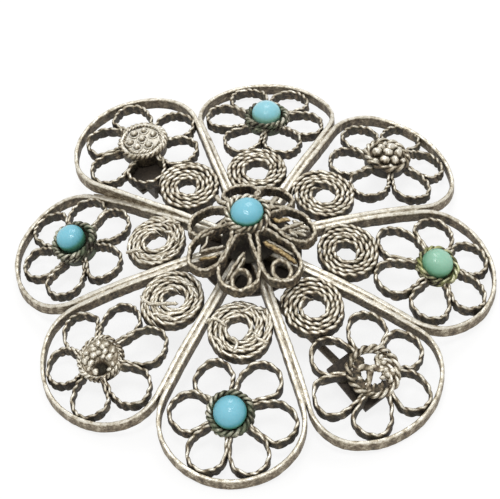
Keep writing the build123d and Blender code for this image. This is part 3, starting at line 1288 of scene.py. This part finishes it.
    def ribbon(self, plan: Array, s: Array, down: Array | float, wire: Wire, rng: Rng,
               taper: float = 0.0) -> Patch:
        """Twisted wire on edge along an open path.

        A rectangle with round corners is carried along the path, with the strands' relief on
        it. It is brighter on top, on the strands and on rubbed stretches. Its dark walls are
        partly tarnish and partly painted shade.

        Args:
            plan: Its path in plan.
            s: Distance along the path.
            down: Its top below the dome.
            wire: The wire.
            rng: Seeded numbers.
            taper: Length over which its ends get thin.

        Returns:
            Its surface, turned into place.
        """
        profile = Profile.box(wire.width, wire.height, wire.width * 0.40, 4)
        plan = plan + leftward(plan, False) * (0.028 * waves(s, rng, 1.5))[:, None]
        path = self.raised(plan, down + wire.height / 2)
        strands = twist(s + 0.22 * waves(s, rng, 2.8), profile.turn, wire.lump, rng.uniform(0, 3), wire.pairs)
        uneven = 1 + 0.5 * waves(s, rng, 2.3)[:, None]
        relief = wire.depth * uneven * (strands ** 0.7 - 0.80) + 0.012 * speckle(strands.shape, rng)
        grid = carry(path, False, profile, relief, tapered(s, taper, 0.2) if taper else None)
        rubbed = 0.10 * waves(s, rng, 3.0)[:, None] + 0.08 * waves(s, rng, 0.9)[:, None]
        top = np.clip(profile.upward, 0, 1)
        # Dark walls and bright tops: partly tarnish and rubbing, partly painted shade on the walls.
        wear_and_shade = -0.05 + 0.20 * strands ** 1.6 + top * (0.30 + 0.38 * strands ** 1.2) + rubbed
        wear_and_shade = wear_and_shade + 0.13 * speckle(wear_and_shade.shape, rng) + wire.shine
        return Patch(self.around(grid), wear_and_shade)

    def coil_piece(self) -> bpy.types.Object:
        """Twisted wire wound into a flat coil, with the strands that came loose on top.

        The radius grows evenly with the angle from the hole to the rim, and strays a little.

        Returns:
            The piece.
        """
        rng = self.rng(2)
        wire = self.coil_wire
        inner = self.coil_hole + wire.width / 2 - 0.14
        outer = self.coil_r - wire.width / 2 + 0.12
        turns = (outer - inner) / COIL_PITCH
        a = np.linspace(0, TAU * turns, 600)
        start = rng.uniform(0, PHASES)
        r = inner + (outer - inner) * a / a[-1] + wire.stray * waves(a, rng, 3.0)
        plan = np.stack([self.coil + r * np.cos(a + start), r * np.sin(a + start)], 1)
        plan, s = resample(plan, 0.10, False)
        down = -0.10 + 0.10 * waves(s, rng, 7.0)
        patches = [self.ribbon(plan, s, down, wire, rng, 0.8)]
        for line in self.frays:
            loose = self.raised(self.shown(line)[:, :2] + [self.coil, 0], -0.08)
            patches.append(bar(loose, 0.36, 0.36, rng, self.around, 0.06, 0.07))
        return store(f"{self.name}_coil", patches, self.finishes.wire, "brooch")

    def keyhole(self, start: float, rng: Rng) -> Array:
        """Centre line of one loop of the rosette, its axis along the first axis.

        It runs out beside the line between two loops, round the ring's far side and back
        beside the next line. The far side's radius wanders by a few hundredths.

        Args:
            start: Distance from the rosette's middle at which it starts.
            rng: Seeded numbers.

        Returns:
            Points in plan.
        """
        c, d = math.cos(math.pi / 6), math.sin(math.pi / 6)
        off = RING_PITCH / 2 - RING_R
        t = np.linspace(start, RING_PITCH * c, 14, endpoint=False)
        spoke = np.stack([t * c + off * d, t * d - off * c], 1)
        a = np.linspace(2 * math.pi / 3, -2 * math.pi / 3, 120)
        free = np.sin((a / (4 * math.pi / 3) + 0.5) * math.pi) ** 2
        r = RING_R + free * ripples(a, rng, (0.07, 2), (0.05, 3))
        ring = np.stack([RING_PITCH + r * np.cos(a), r * np.sin(a)], 1)
        return np.vstack([spoke, ring, spoke[::-1] * [1, -1]])

    def rosette_piece(self) -> bpy.types.Object:
        """Six loops of flattened twisted wire round the seat.

        Each loop is turned by a sixth more. Its foot moves with the seat and its far side by
        its own nudge, with an even blend between them.

        Returns:
            The piece.
        """
        rng = self.rng(3)
        patches = []
        start = SEATS[self.setting].hole + 0.12
        for n, nudge in enumerate(self.nudges):
            plan, s = resample(self.keyhole(start, rng), 0.084, False)
            plan = smooth(plan, False, 3)
            far = np.clip((plan[:, :1] - start) / (RING_PITCH - start), 0, 1)
            plan = turned(np.column_stack([plan, 0 * s]), math.radians(30 + 60 * n))[:, :2]
            plan = plan + [self.rosette, 0]
            plan = plan + far * self.shown(nudge)[:2] + (1 - far) * self.shown(self.seat_shift)[:2]
            down = 0.08 + 0.04 * rng.standard_normal() + 0.05 * waves(s, rng, 4.0)
            patches.append(self.ribbon(plan, s, down, self.ring_wire, rng))
        return store(f"{self.name}_rosette", patches, self.finishes.wire, "brooch")

    def collar_piece(self) -> bpy.types.Object:
        """Cup of the stone or granules with its twisted wires.

        The cup is an outline turned about its axis. It is brighter on the rim and dark
        outside. A dent is a steep bell: e to the minus fourth power of the distance.

        Returns:
            The piece.
        """
        rng = self.rng(4)
        seat = SEATS[self.setting]
        hole, low = seat.hole, -CUP_DEPTH - self.lift
        rim = max(0.42, seat.floor + 0.02)
        wall = [[hole, rim - 0.02], [hole + 0.08, rim + 0.05], [hole + 0.22, rim], [hole + 0.24, rim - 0.25],
                [hole + 0.26, low]]
        if seat.pierced:
            cup = np.array([[hole, low]] + wall)
        else:
            cup = np.array([[r, seat.floor] for r in np.linspace(0.01, hole, 10)] + wall + [[0.01, low]])
        grid = lathe(cup, 72)
        rough = speckle(grid.shape[:2], rng)
        on_floor, on_rim = cup[:, 1] == seat.floor, cup[:, 1] > rim - 0.04
        outside = (cup[:, 1] < rim - 0.2) * (cup[:, 0] > hole)
        wear_and_shade = seat.crust + 0.26 * on_rim - 0.45 * outside + 0.12 * rough
        if seat.dent:
            away = np.linalg.norm((grid - self.shown(seat.dent[:2]))[..., :2], axis=2)
            sunk = np.exp(-(away / seat.dent[2]) ** 4) * on_floor
            grid[..., 2] += 0.05 * rough * on_floor - 0.75 * sunk
            wear_and_shade = wear_and_shade - 0.9 * sunk
        patches = [Patch(self.seated(grid), wear_and_shade, True)]
        for rope in seat.ropes:
            patches += rope.patches(rng, self.seated)
        finish = {Setting.GREEN: self.finishes.green_collar, Setting.BLUE: self.finishes.collar}
        return store(f"{self.name}_collar", patches, finish.get(self.setting, self.finishes.wire), "brooch")

    def stone_piece(self) -> bpy.types.Object:
        """Round cabochon: a straight side under a high round top, slightly uneven.

        Returns:
            The piece, which stands for the stone's solid.
        """
        green = self.setting is Setting.GREEN
        blue = self.finishes.pale if self.pale else self.finishes.blue
        radius, right, over = self.stone

        def placed(grid: Array) -> Array:
            """Adds the stone's own shift."""
            return self.seated(grid + self.shown((right, over)))

        stone = cabochon(radius, 0.10, 0.78, STONE_CROWN * radius / STONE_R, self.rng(5), placed)
        return store(f"{self.name}_stone", [stone], self.finishes.green if green else blue, "brooch",
                     (f"stone_{self.number}",))

    def granules(self) -> bpy.types.Object:
        """Small balls melted onto the seat, with what is left of a broken floor.

        Returns:
            The piece.
        """
        rng = self.rng(6)
        seat = SEATS[self.setting]
        patches = []
        for angle, out, height, radius in seat.grains:
            a = self.seen(angle) + 0.05 * rng.standard_normal()
            middle = np.array([out * math.cos(a), out * math.sin(a), height])
            patches.append(ball(middle, radius * (1 + 0.04 * rng.standard_normal()), rng, self.seated))
            if seat.ringed:
                patches.append(fine_ring(middle, radius, self.seated))
        for out, height, width, start, end, shade in seat.scraps:
            line = arc(0, 0, out, self.seen(start), self.seen(end), 60)
            line = np.column_stack([line, np.full(len(line), height)])
            patches.append(bar(line, width, 0.42, rng, self.seated, shade, 0.11))
        for points in seat.bars:
            line = turned(np.array(points), self.seen(0))
            patches.append(bar(line, 0.58, 0.34, rng, self.seated, -0.22, 0.09))
        return store(f"{self.name}_granules", patches, self.finishes.wire, "brooch")

    def build(self, finishes: Finishes) -> None:
        """Makes all the pieces of the petal.

        Args:
            finishes: The materials.
        """
        self.finishes = finishes
        self.strip()
        self.coil_piece()
        self.rosette_piece()
        self.collar_piece()
        if self.setting in (Setting.BLUE, Setting.GREEN):
            self.stone_piece()
        else:
            self.granules()


WORN_COIL = Wire(0.46, 1.28, 0.92, 0.095, 2, 0.11, 0.08)

# Each row gives the number, the turns, the reach, the radii of the tip and the shoulders,
# the dome's fall, the seat's lift, the setting and the hole in the coil.
PETALS = (
    Petal(1, (0.1, 0.0, 0.7), 23.57, 8.75, 4.18, 4.95, 0.0, Setting.OPEN, 1.05, seat_shift=(0.28, 0.18),
          nudges=((0.0, 0.0), (0.1, 0.1), (0.6, 0.25), (0.05, 0.0), (-0.45, 0.30), (-0.6, 0.0)),
          ring_wire=Wire(0.36, 1.25, 1.10, 0.10)),
    Petal(2, (0.0, 0.7, 1.0), 23.74, 7.03, 4.63, 4.95, 0.0, Setting.GREEN, 0.95, seat_shift=(0.52, 0.10),
          stone=(1.56, -0.16, 0.0), ring_wire=Wire(0.37, 1.30, 0.92, 0.13)),
    Petal(3, (0.7, 1.0, 1.2), 23.67, 8.77, 4.39, 4.95, 0.45, Setting.CLUSTER, 1.08, seat_shift=(0.12, 0.45),
          nudges=((0.44, 0.25), (0.30, 0.40), (0.25, 0.40), (-0.30, 0.65), (-0.10, 0.20), (0.0, -0.30))),
    Petal(4, (1.0, 1.2, 0.2), 23.66, 7.56, 4.60, 4.95, 0.2, Setting.BLUE, 1.15, seat_shift=(0.10, -0.15),
          stone=(1.50, 0.0, 0.0), pale=True,
          nudges=((0.0, 0.0), (-0.15, 0.45), (0.0, 0.1), (0.0, 0.0), (0.0, -0.40), (0.2, -0.2))),
    Petal(5, (1.2, 0.2, -0.6), 23.78, 6.89, 4.54, 2.30, 0.3, Setting.DISC, 0.82, seat_shift=(0.44, -0.05),
          nudges=((0.25, -0.55), (0.10, -0.35), (0.20, 0.50), (0.30, 0.15), (0.45, -0.30), (-0.30, -0.20))),
    Petal(6, (0.2, -0.6, -1.6), 23.50, 7.24, 4.35, 4.95, 0.6, Setting.BLUE, 0.92, seat_shift=(0.15, 0.25),
          stone=(1.42, -0.18, 0.22),
          nudges=((0.35, 0.85), (-0.5, 0.6), (-0.45, 0.0), (-0.15, 0.5), (0.5, 0.15), (0.65, 0.95)),
          coil_wire=WORN_COIL,
          frays=(((2.6, 1.5), (1.9, 1.9), (0.6, 2.1)), ((-2.9, -0.9), (-2.0, -0.7), (-1.1, -1.2)),
                 ((0.2, -2.7), (1.0, -1.9), (2.1, -1.8)), ((1.0, 0.9), (1.9, 0.3), (2.2, -0.7)))),
    Petal(7, (-0.6, -1.6, 0.1), 23.73, 7.23, 4.57, 4.95, 0.0, Setting.WORN, 0.88, seat_shift=(-0.56, 0.05),
          nudges=((0.0, 0.0), (0.0, 0.0), (0.0, 0.0), (-0.10, -0.35), (0.0, 0.0), (0.0, 0.5)),
          coil_wire=WORN_COIL,
          frays=(((-3.1, 0.9), (-2.7, 0.2), (-2.1, -0.3), (-1.2, -0.4), (0.5, -0.7)),
                 ((-3.0, 0.1), (-2.5, 1.0), (-1.8, 1.5)), ((-2.2, -1.3), (-1.2, -1.6), (-0.2, -2.3)),
                 ((1.3, 1.4), (2.1, 0.7), (2.3, -0.4)))),
    Petal(8, (-1.6, 0.1, 0.0), 23.74, 7.44, 4.82, 4.95, 0.1, Setting.BLUE, 0.98, seat_shift=(-0.08, 0.04),
          nudges=((0.0, 0.0), (0.2, -0.5), (0.5, -0.4), (0.0, -0.35), (0.0, 0.0), (0.0, 0.0)),
          ring_wire=Wire(0.36, 1.25, 1.05, 0.11), coil_wire=WORN_COIL,
          frays=(((-3.2, 0.8), (-2.6, 1.2), (-1.8, 0.9), (-1.3, 0.2)),
                 ((-1.0, -0.9), (-0.2, -1.6), (-0.9, -2.4)), ((1.2, -0.6), (1.7, -1.5), (2.6, -1.9)),
                 ((-2.6, -0.6), (-1.9, -1.4), (-1.8, -2.2)), ((0.3, 1.5), (1.4, 2.0), (2.4, 1.5)))),
)


# Raised flower


@dataclass(frozen=True)
class Loop:
    """One ribbon loop of the raised flower.

    Attributes:
        turn: Direction in degrees.
        out: Centre of the round end from the axis.
        end_r: Outer radius of the end.
        fall: Fall for each millimetre outwards.
    """

    turn: float
    out: float
    end_r: float
    fall: float


@dataclass(frozen=True)
class Bit:
    """Short wire bent inside the raised flower.

    Attributes:
        points: Points of its middle line, in height above the petals.
        width: Its thickness.
        height: Its height.
    """

    points: Points
    width: float
    height: float


SILVER_BITS = (
    Bit(((2.30, -2.20, 2.75), (2.45, -3.65, 2.05), (2.80, -5.05, 1.30)), 0.30, 0.75),
    Bit(((2.55, -2.45, 2.45), (2.66, -2.77, 2.30), (2.95, -3.94, 1.70)), 0.28, 0.60),
    Bit(((-1.94, -3.30, 2.20), (-1.28, -4.35, 1.80), (-1.47, -4.93, 1.45)), 0.28, 0.55),
    Bit(((-1.35, -5.06, 1.45), (-0.61, -4.25, 1.95), (0.45, -3.20, 2.55)), 0.32, 0.60),
    Bit(((2.55, 1.60, 2.75), (2.53, 3.20, 2.15), (2.60, 4.80, 1.40)), 0.34, 0.60),
    Bit(((2.35, 2.60, 1.90), (3.20, 3.55, 1.40), (3.85, 4.20, 0.95)), 0.40, 0.50),
    Bit(((-5.15, 0.16, 2.20), (-4.21, -0.21, 2.50), (-3.10, -0.10, 2.95)), 0.46, 0.60),
    Bit(((-4.55, 0.75, 1.90), (-3.55, 0.55, 2.45), (-2.40, 0.50, 3.05)), 0.40, 0.50),
    Bit(((2.50, 0.20, 2.60), (3.90, 1.05, 1.85), (5.00, 1.60, 1.30)), 0.30, 0.50),
    Bit(((1.90, 2.90, 2.20), (2.85, 2.85, 2.00), (3.55, 3.15, 1.55)), 0.46, 0.46),
    Bit(((1.85, 3.90, 1.85), (2.80, 4.30, 1.50), (3.40, 4.85, 1.15)), 0.42, 0.44),
    Bit(((-0.35, 3.00, 2.40), (-1.00, 3.85, 2.05), (-1.45, 4.85, 1.50)), 0.44, 0.50),
    Bit(((-1.60, 2.90, 2.35), (-1.15, 3.70, 2.00), (-0.60, 4.40, 1.60)), 0.34, 0.44),
)

GILT_BITS = (
    Bit(((2.60, -0.30, 2.95), (4.10, 0.55, 2.20), (5.70, 1.25, 1.25)), 0.42, 0.55),
    Bit(((-1.05, -5.43, 1.00), (-0.40, -4.85, 1.35), (0.33, -4.21, 1.70)), 0.36, 0.40),
    Bit(((1.10, 2.10, 3.00), (1.70, 2.45, 2.80), (1.60, 3.25, 2.45), (1.95, 3.65, 2.15)), 0.42, 0.42),
)

# Radius of the post with its foot and cup, height above the petals and wear with painted shade.
POST = np.array([
    [0.01, -1.60, -0.10], [1.30, -1.60, -0.10], [1.30, 0.10, -0.10], [2.60, 0.10, -0.10],
    [2.70, 0.20, -0.10], [2.70, 0.40, -0.10], [2.60, 0.50, -0.10], [1.30, 0.55, -0.10],
    [1.30, 3.30, -0.10], [1.70, 3.50, 0.05], [1.90, 3.70, 0.15], [1.90, 4.40, 0.25],
    [1.84, 4.52, 0.35], [1.68, 4.48, 0.35], [1.64, 4.40, 0.20], [1.64, 3.90, 0.10],
    [0.01, 3.90, 0.10],
])


@dataclass
class CentreFlower:
    """Post, collar and drooping ribbon loops.

    Attributes:
        finishes: The materials.
        loops: The ribbon loops.
        ringlets: For each small ring, its loop's number, its direction in degrees and the
            distance of its centre from the axis.
        ropes: Twisted wires round the cup.
        root: Centre of a loop's narrow end from the axis.
        root_r: Outer radius of the narrow end.
        width: Thickness of the ribbon.
        height: Height of the ribbon.
        top: Top of the loops at the collar, above the petals.
        cup: Middle of the cup's floor: its lean off the axis and its height above the petals.
        back_r: Radius of the plate under the petals' inner ends.
        back_drop: Fall of its dome at DOME_AT.
    """

    finishes: Finishes
    loops: tuple[Loop, ...] = (
        Loop(359.5, 4.75, 2.10, 0.60), Loop(53.5, 4.45, 2.02, 0.62), Loop(104.8, 4.25, 1.90, 0.60),
        Loop(151.0, 4.05, 1.90, 0.62), Loop(216.8, 4.20, 1.90, 0.66), Loop(262.5, 4.55, 2.10, 0.56),
        Loop(309.5, 4.60, 2.15, 0.60),
    )
    ringlets: tuple[tuple[int, float, float], ...] = ((0, 355.5, 5.50), (6, 313.0, 5.55))
    ropes: tuple[Rope, ...] = (Rope(1.93, 0.60, 0.32, 0.66), Rope(1.98, 0.08, 0.24, 0.60))
    root: float = 2.0
    root_r: float = 0.62
    width: float = 0.38
    height: float = 1.15
    top: float = 4.0
    cup: tuple[float, float, float] = (-0.10, 0.07, 3.90)
    back_r: float = 5.0
    back_drop: float = 4.95

    def lifted(self, grid: Array) -> Array:
        """Raises points given from the petals' top to their place."""
        return grid + [0, 0, PETAL_Z]

    def placed(self, grid: Array) -> Array:
        """Puts points given from the cup's floor on the brooch."""
        return self.lifted(grid + np.array(self.cup))

    def cone(self, plan: Array, down: Array | float, fall: float) -> Array:
        """Puts plan points on the cone that a loop follows.

        Args:
            plan: Points in plan.
            down: How far they are below the cone.
            fall: Fall of the cone for each millimetre outwards.

        Returns:
            The points in space.
        """
        r = np.hypot(plan[:, 0], plan[:, 1])
        return np.column_stack([plan, PETAL_Z + self.top - fall * (r - self.root) - down])

    def drop_line(self, loop: Loop) -> Array:
        """Centre line of a loop: two arcs and the straight lines that touch both.

        Args:
            loop: The loop.

        Returns:
            Its points in plan, the loop along +X.
        """
        big, small = loop.end_r - self.width / 2, self.root_r - self.width / 2
        lean = math.asin((big - small) / (loop.out - self.root))
        end = arc(loop.out, 0, big, -math.pi / 2 - lean, math.pi / 2 + lean, 60)
        root = arc(self.root, 0, small, math.pi / 2 + lean, 1.5 * math.pi - lean, 20)
        return np.vstack([end, root])

    def ribbon_loop(self, loop: Loop, rng: Rng) -> Patch:
        """Ribbon on edge along a loop's line, dented and bent by ripples.

        A rectangle with round corners is carried along the line. It is brighter on top and
        on its bumps, and darker on its inner side, which is painted shade.

        Args:
            loop: The loop.
            rng: Seeded numbers.

        Returns:
            Its surface.
        """
        plan, s = resample(self.drop_line(loop), 0.10, True)
        plan = smooth(plan, True, 3)
        length = s[-1] + s[1]
        wander = sum(size * np.sin(count * np.pi * s / length + rng.uniform(0, RIPPLE_PHASES))
                     for size, count in ((0.06, 6), (0.035, 14), (0.020, 30)))
        plan = plan + leftward(plan, True) * wander[:, None]
        profile = Profile.box(self.width, self.height + 0.15, 0.13, 5)
        share, turn = s[:, None] / length, profile.turn[None, :]
        dents = sum(0.015 * np.sin(TAU * (share * k + turn * m) + rng.uniform(0, RIPPLE_PHASES))
                    for k, m in ((9, 2), (17, -1), (26, 3), (37, -2)))
        lean = 0.06 * np.sin(4 * np.pi * s / length + rng.uniform(0, RIPPLE_PHASES))
        level = (self.height + 0.15) / 2 + lean
        grid = carry(self.cone(plan, level, loop.fall), True, profile, dents)
        # The inner side is darker: painted shade.
        wear_and_shade = 0.21 + 0.41 * profile.upward + 3.2 * dents - 0.10 * (profile.points[None, :, 0] > 0)
        wear_and_shade = wear_and_shade + 0.12 * speckle(wear_and_shade.shape, rng)
        return Patch(turned(grid, math.radians(loop.turn)), wear_and_shade, True)

    def ringlet(self, turn: float, out: float, fall: float) -> Patch:
        """Small ring of twisted wire rolled flat, inside a loop.

        Args:
            turn: Its direction.
            out: Distance of its centre from the axis.
            fall: Fall of its loop for each millimetre outwards.

        Returns:
            Its surface.
        """
        rng = np.random.default_rng(round(100 * out))
        plan, s = resample(arc(out, 0, 0.86, 0, TAU, 60)[:-1], 0.08, True)
        profile = Profile.box(0.46, 0.80, 0.18, 2)
        path = self.cone(plan, 0.26 + 0.40, fall)
        strands = twist(s, profile.turn, whole(s[-1] + s[1], 0.75), rng.uniform(0, 3))
        grid = carry(path, True, profile, 0.035 * (strands - 0.7))
        wear_and_shade = 0.16 + 0.10 * strands + np.clip(profile.upward, 0, 1) * (0.22 + 0.20 * strands)
        # The inner side is darker: painted shade.
        wear_and_shade = wear_and_shade - 0.12 * (profile.points[None, :, 0] > 0.1)
        return Patch(turned(grid, turn), wear_and_shade, True)

    def petals(self) -> bpy.types.Object:
        """The ribbon loops and the small rings inside two of them.

        Returns:
            The piece, which stands for the raised flower's solid.
        """
        patches = [self.ribbon_loop(loop, np.random.default_rng(500 + n))
                   for n, loop in enumerate(self.loops)]
        for n, turn, out in self.ringlets:
            patches.append(self.ringlet(math.radians(turn), out, self.loops[n].fall))
        return store("centre_flower_loops", patches, self.finishes.silver, "brooch", ("centre_flower",))

    def collar(self) -> bpy.types.Object:
        """Post with its foot, the cup on top, and its twisted wires.

        Returns:
            The piece.
        """
        rng = np.random.default_rng(77)
        grid = self.lifted(lathe(POST[:, :2], 72))
        # The post and its foot are darkest: painted shade under the cup.
        patches = [Patch(grid, np.broadcast_to(POST[:, 2], grid.shape[:2]), True)]
        for rope in self.ropes:
            patches += rope.patches(rng, self.placed)
        return store("centre_flower_collar", patches, self.finishes.wire, "brooch")

    def back(self) -> bpy.types.Object:
        """Domed plate under the petals' inner ends, coloured near-black as painted shade.

        Returns:
            The piece.
        """
        r = np.linspace(0.01, self.back_r, 12)
        top = np.stack([r, dome_z(r, self.back_drop) - 1.50], 1)
        grid = lathe(np.vstack([top - [0, 0.40], top[::-1]]), 96)
        # Lowest value on the near-black finish: painted shade under the raised flower.
        plate = Patch(grid, np.full(grid.shape[:2], -0.05), True)
        return store("centre_flower_back", [plate], self.finishes.dark, "brooch")

    def stone(self) -> bpy.types.Object:
        """The middle stone.

        Returns:
            The piece, which stands for the stone's solid.
        """
        stone = cabochon(1.59, 0.05, 0.78, 1.16, np.random.default_rng(78), self.placed)
        return store("centre_flower_stone", [stone], self.finishes.blue, "brooch", ("centre_stone",))

    def bits(self) -> None:
        """Short wires bent inside the loops, silver and gilt."""
        rng = np.random.default_rng(79)
        for name, bits, finish in (("centre_flower_wires", SILVER_BITS, self.finishes.wire),
                                   ("centre_flower_gilt_wires", GILT_BITS, self.finishes.gilt)):
            patches = [bar(bit.points, bit.width, bit.height, rng, self.lifted) for bit in bits]
            store(name, patches, finish, "brooch")

    def build(self) -> None:
        """Makes all the pieces of the raised flower."""
        self.petals()
        self.collar()
        self.back()
        self.stone()
        self.bits()


# Solder


@dataclass
class Solder:
    """Seams of solder between neighbouring petals.

    Attributes:
        finish: Its metal.
        start: Distance from the axis at which the seams start.
        width: Width of a seam.
        height: Height of a seam.
    """

    finish: bpy.types.Material
    start: float = 2.6
    width: float = 0.34
    height: float = 0.50

    def seam(self, right: Petal, left: Petal) -> Patch:
        """A low, uneven seam in one gap, up to where the petals' sides part.

        A rectangle with round corners is carried along the gap, under the lower of the two
        domes. Waves stretch and dent it. It is brighter on top and on its bumps, and darker
        near the middle of the brooch as painted shade.

        Args:
            right: The petal on the right.
            left: The petal on the left.

        Returns:
            Its surface.
        """
        rng = right.rng(9)
        line = right.angle + right.half
        end = min(right.parting(), left.parting()) + 0.5
        r = np.arange(self.start, end, 0.12)
        z = np.minimum(dome_z(r, right.drop), dome_z(r, left.drop)) - 0.30
        path = np.column_stack([r * math.cos(line), r * math.sin(line), z])
        profile = Profile.box(self.width, self.height, 0.15, 2)
        taper = np.clip((end - r) / 0.8, 0.25, 1)
        stretch = np.stack([taper * (1 + 0.15 * waves(r, rng, 1.5)), 1 + 0.12 * waves(r, rng, 1.1)], 1)
        dents = 0.025 * waves(r[:, None] + profile.turn[None, :], rng, 0.7, 5)
        grid = carry(path, False, profile, dents, stretch)
        # Darker near the middle of the brooch: painted shade under the raised flower.
        wear_and_shade = 0.32 + 0.22 * profile.upward + 3.0 * dents - 0.2 * near_middle(r)
        return Patch(grid, wear_and_shade + 0.12 * waves(r, rng, 2.0)[:, None])

    def build(self, petals: tuple[Petal, ...]) -> bpy.types.Object:
        """Lays a seam in each gap.

        Args:
            petals: The petals, counter-clockwise.

        Returns:
            The new object.
        """
        seams = [self.seam(right, left) for right, left in zip(petals, petals[1:] + petals[:1])]
        return store("solder_seams", seams, self.finish, "brooch")


# Pin


@dataclass
class Pin:
    """The pin on the back, whose CAD pieces stay and get their finishes.

    Attributes:
        finishes: The materials.
    """

    finishes: Finishes

    def build(self, frame: dict) -> None:
        """Dresses the CAD pieces.

        Args:
            frame: What the frame loaded, with its nodes by name.
        """
        # The hinge and catch get the near-black finish: painted shade.
        for name, finish in (("pin_hinge", self.finishes.dark), ("pin_catch", self.finishes.dark),
                             ("pin_stem", self.finishes.stem)):
            piece = frame["nodes"][name]
            piece.data.materials.clear()
            piece.data.materials.append(finish)
            log.info("%s: CAD piece dressed", name)


# Studio


@dataclass(frozen=True)
class Lamp:
    """Square area light that looks at the brooch.

    Attributes:
        name: The lamp's name.
        azimuth: Degrees round the brooch, 0 on the camera's side and positive to its right.
        elevation: Degrees above the floor.
        distance: Distance in metres.
        size: Side of the square in metres.
        power: Watts.
    """

    name: str
    azimuth: float
    elevation: float
    distance: float
    size: float
    power: float


def posed(kind: bpy.types.Camera | bpy.types.Light, axes: Array, place: Array) -> bpy.types.Object:
    """Links a camera or a lamp into the scene.

    Args:
        kind: Its data.
        axes: Its right, up and backward directions, one in each row.
        place: Its place in metres.

    Returns:
        The new object.
    """
    made = bpy.data.objects.new(kind.name, kind)
    bpy.context.scene.collection.objects.link(made)
    matrix = np.eye(4)
    matrix[:3, :3] = np.transpose(axes)
    matrix[:3, 3] = place
    made.matrix_world = Matrix(matrix.tolist())
    return made


@dataclass
class Studio:
    """Pale floor, soft lights and the camera.

    Attributes:
        elevation: Camera's angle above the floor, in degrees.
        roll: Camera's roll, in degrees.
        distance: Camera's distance from the brooch's middle.
        focal: Focal length in pixels of the picture.
        picture: Width of the picture in pixels.
        sensor: Width of the camera's sensor.
        offset: Camera's shift sideways and up.
        sky: Colour of the surroundings.
        sky_strength: How bright they are.
        lamps: A soft lamp overhead and a weaker one behind.
        board: Half the side of the floor, in metres.
    """

    elevation: float = 54.3968
    roll: float = -5.0852
    distance: float = 213.691
    focal: float = 2206.551
    picture: float = 500
    sensor: float = 36.0
    offset: tuple[float, float] = (0.03953, -0.74086)
    sky: tuple[float, float, float, float] = (1.0, 0.995, 0.985, 1.0)
    sky_strength: float = 0.74
    lamps: tuple[Lamp, ...] = (
        Lamp("key", -20, 84, 0.30, 0.085, 0.20), Lamp("rim", 170, 50, 0.30, 0.10, 0.14),
    )
    board: float = 3.0

    def camera(self) -> None:
        """Places the camera that was fitted to the photograph.

        It looks along its angle above the floor, is rolled about that line, moved by its
        offset, and turned about the brooch's axis by the heading.
        """
        e, r, h = map(math.radians, (self.elevation, self.roll, HEADING))
        back = np.array([0, -math.cos(e), math.sin(e)])
        right = np.array([1.0, 0, 0])
        up = np.cross(back, right)
        x = math.cos(r) * right + math.sin(r) * up
        y = -math.sin(r) * right + math.cos(r) * up
        eye = turned(back * self.distance + x * self.offset[0] + y * self.offset[1], h)
        data = bpy.data.cameras.new("camera")
        data.sensor_width = self.sensor
        data.lens = self.focal / self.picture * self.sensor
        data.clip_start, data.clip_end = 0.01, 10.0
        axes = turned(np.stack([x, y, back]), h)
        bpy.context.scene.camera = posed(data, axes, (eye + np.array([0, 0, PETAL_Z]) + SHIFT) * MM)

    def light(self, lamp: Lamp) -> None:
        """Hangs a lamp, its azimuth counted as the camera's.

        Args:
            lamp: The lamp.
        """
        a, e = math.radians(lamp.azimuth + HEADING), math.radians(lamp.elevation)
        back = np.array([math.sin(a) * math.cos(e), -math.cos(a) * math.cos(e), math.sin(e)])
        side = np.cross(UP, back)
        side /= np.linalg.norm(side)
        data = bpy.data.lights.new(lamp.name, "AREA")
        data.size = lamp.size
        data.energy = lamp.power
        posed(data, np.stack([side, np.cross(back, side), back]), back * lamp.distance)

    def surroundings(self) -> None:
        """Bright, even surroundings, and colours shown as they are."""
        world = bpy.data.worlds.new("world")
        world.use_nodes = True
        background = world.node_tree.nodes["Background"]
        background.inputs["Color"].default_value = self.sky
        background.inputs["Strength"].default_value = self.sky_strength
        bpy.context.scene.world = world
        bpy.context.scene.view_settings.view_transform = "Standard"

    def floor(self) -> None:
        """Flat board under the brooch."""
        mesh = bpy.data.meshes.new("floor")
        x = self.board
        mesh.from_pydata([(-x, -x, 0), (x, -x, 0), (x, x, 0), (-x, x, 0)], [], [(0, 1, 2, 3)])
        mesh.materials.append(PaleFloor().build())
        board = bpy.data.objects.new("floor", mesh)
        bpy.context.scene.collection.objects.link(board)

    def build(self) -> None:
        """Sets up the whole studio."""
        self.floor()
        self.surroundings()
        for lamp in self.lamps:
            self.light(lamp)
        self.camera()


def main() -> None:
    """Builds the brooch and its studio."""
    logging.basicConfig(level=logging.INFO, format="%(name)s %(message)s")
    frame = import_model()
    finishes = Finishes.made()
    for petal in PETALS:
        petal.build(finishes)
    Solder(finishes.solder).build(PETALS)
    CentreFlower(finishes).build()
    Pin(finishes).build(frame)
    Studio().build()


if __name__ == "__main__":
    main()
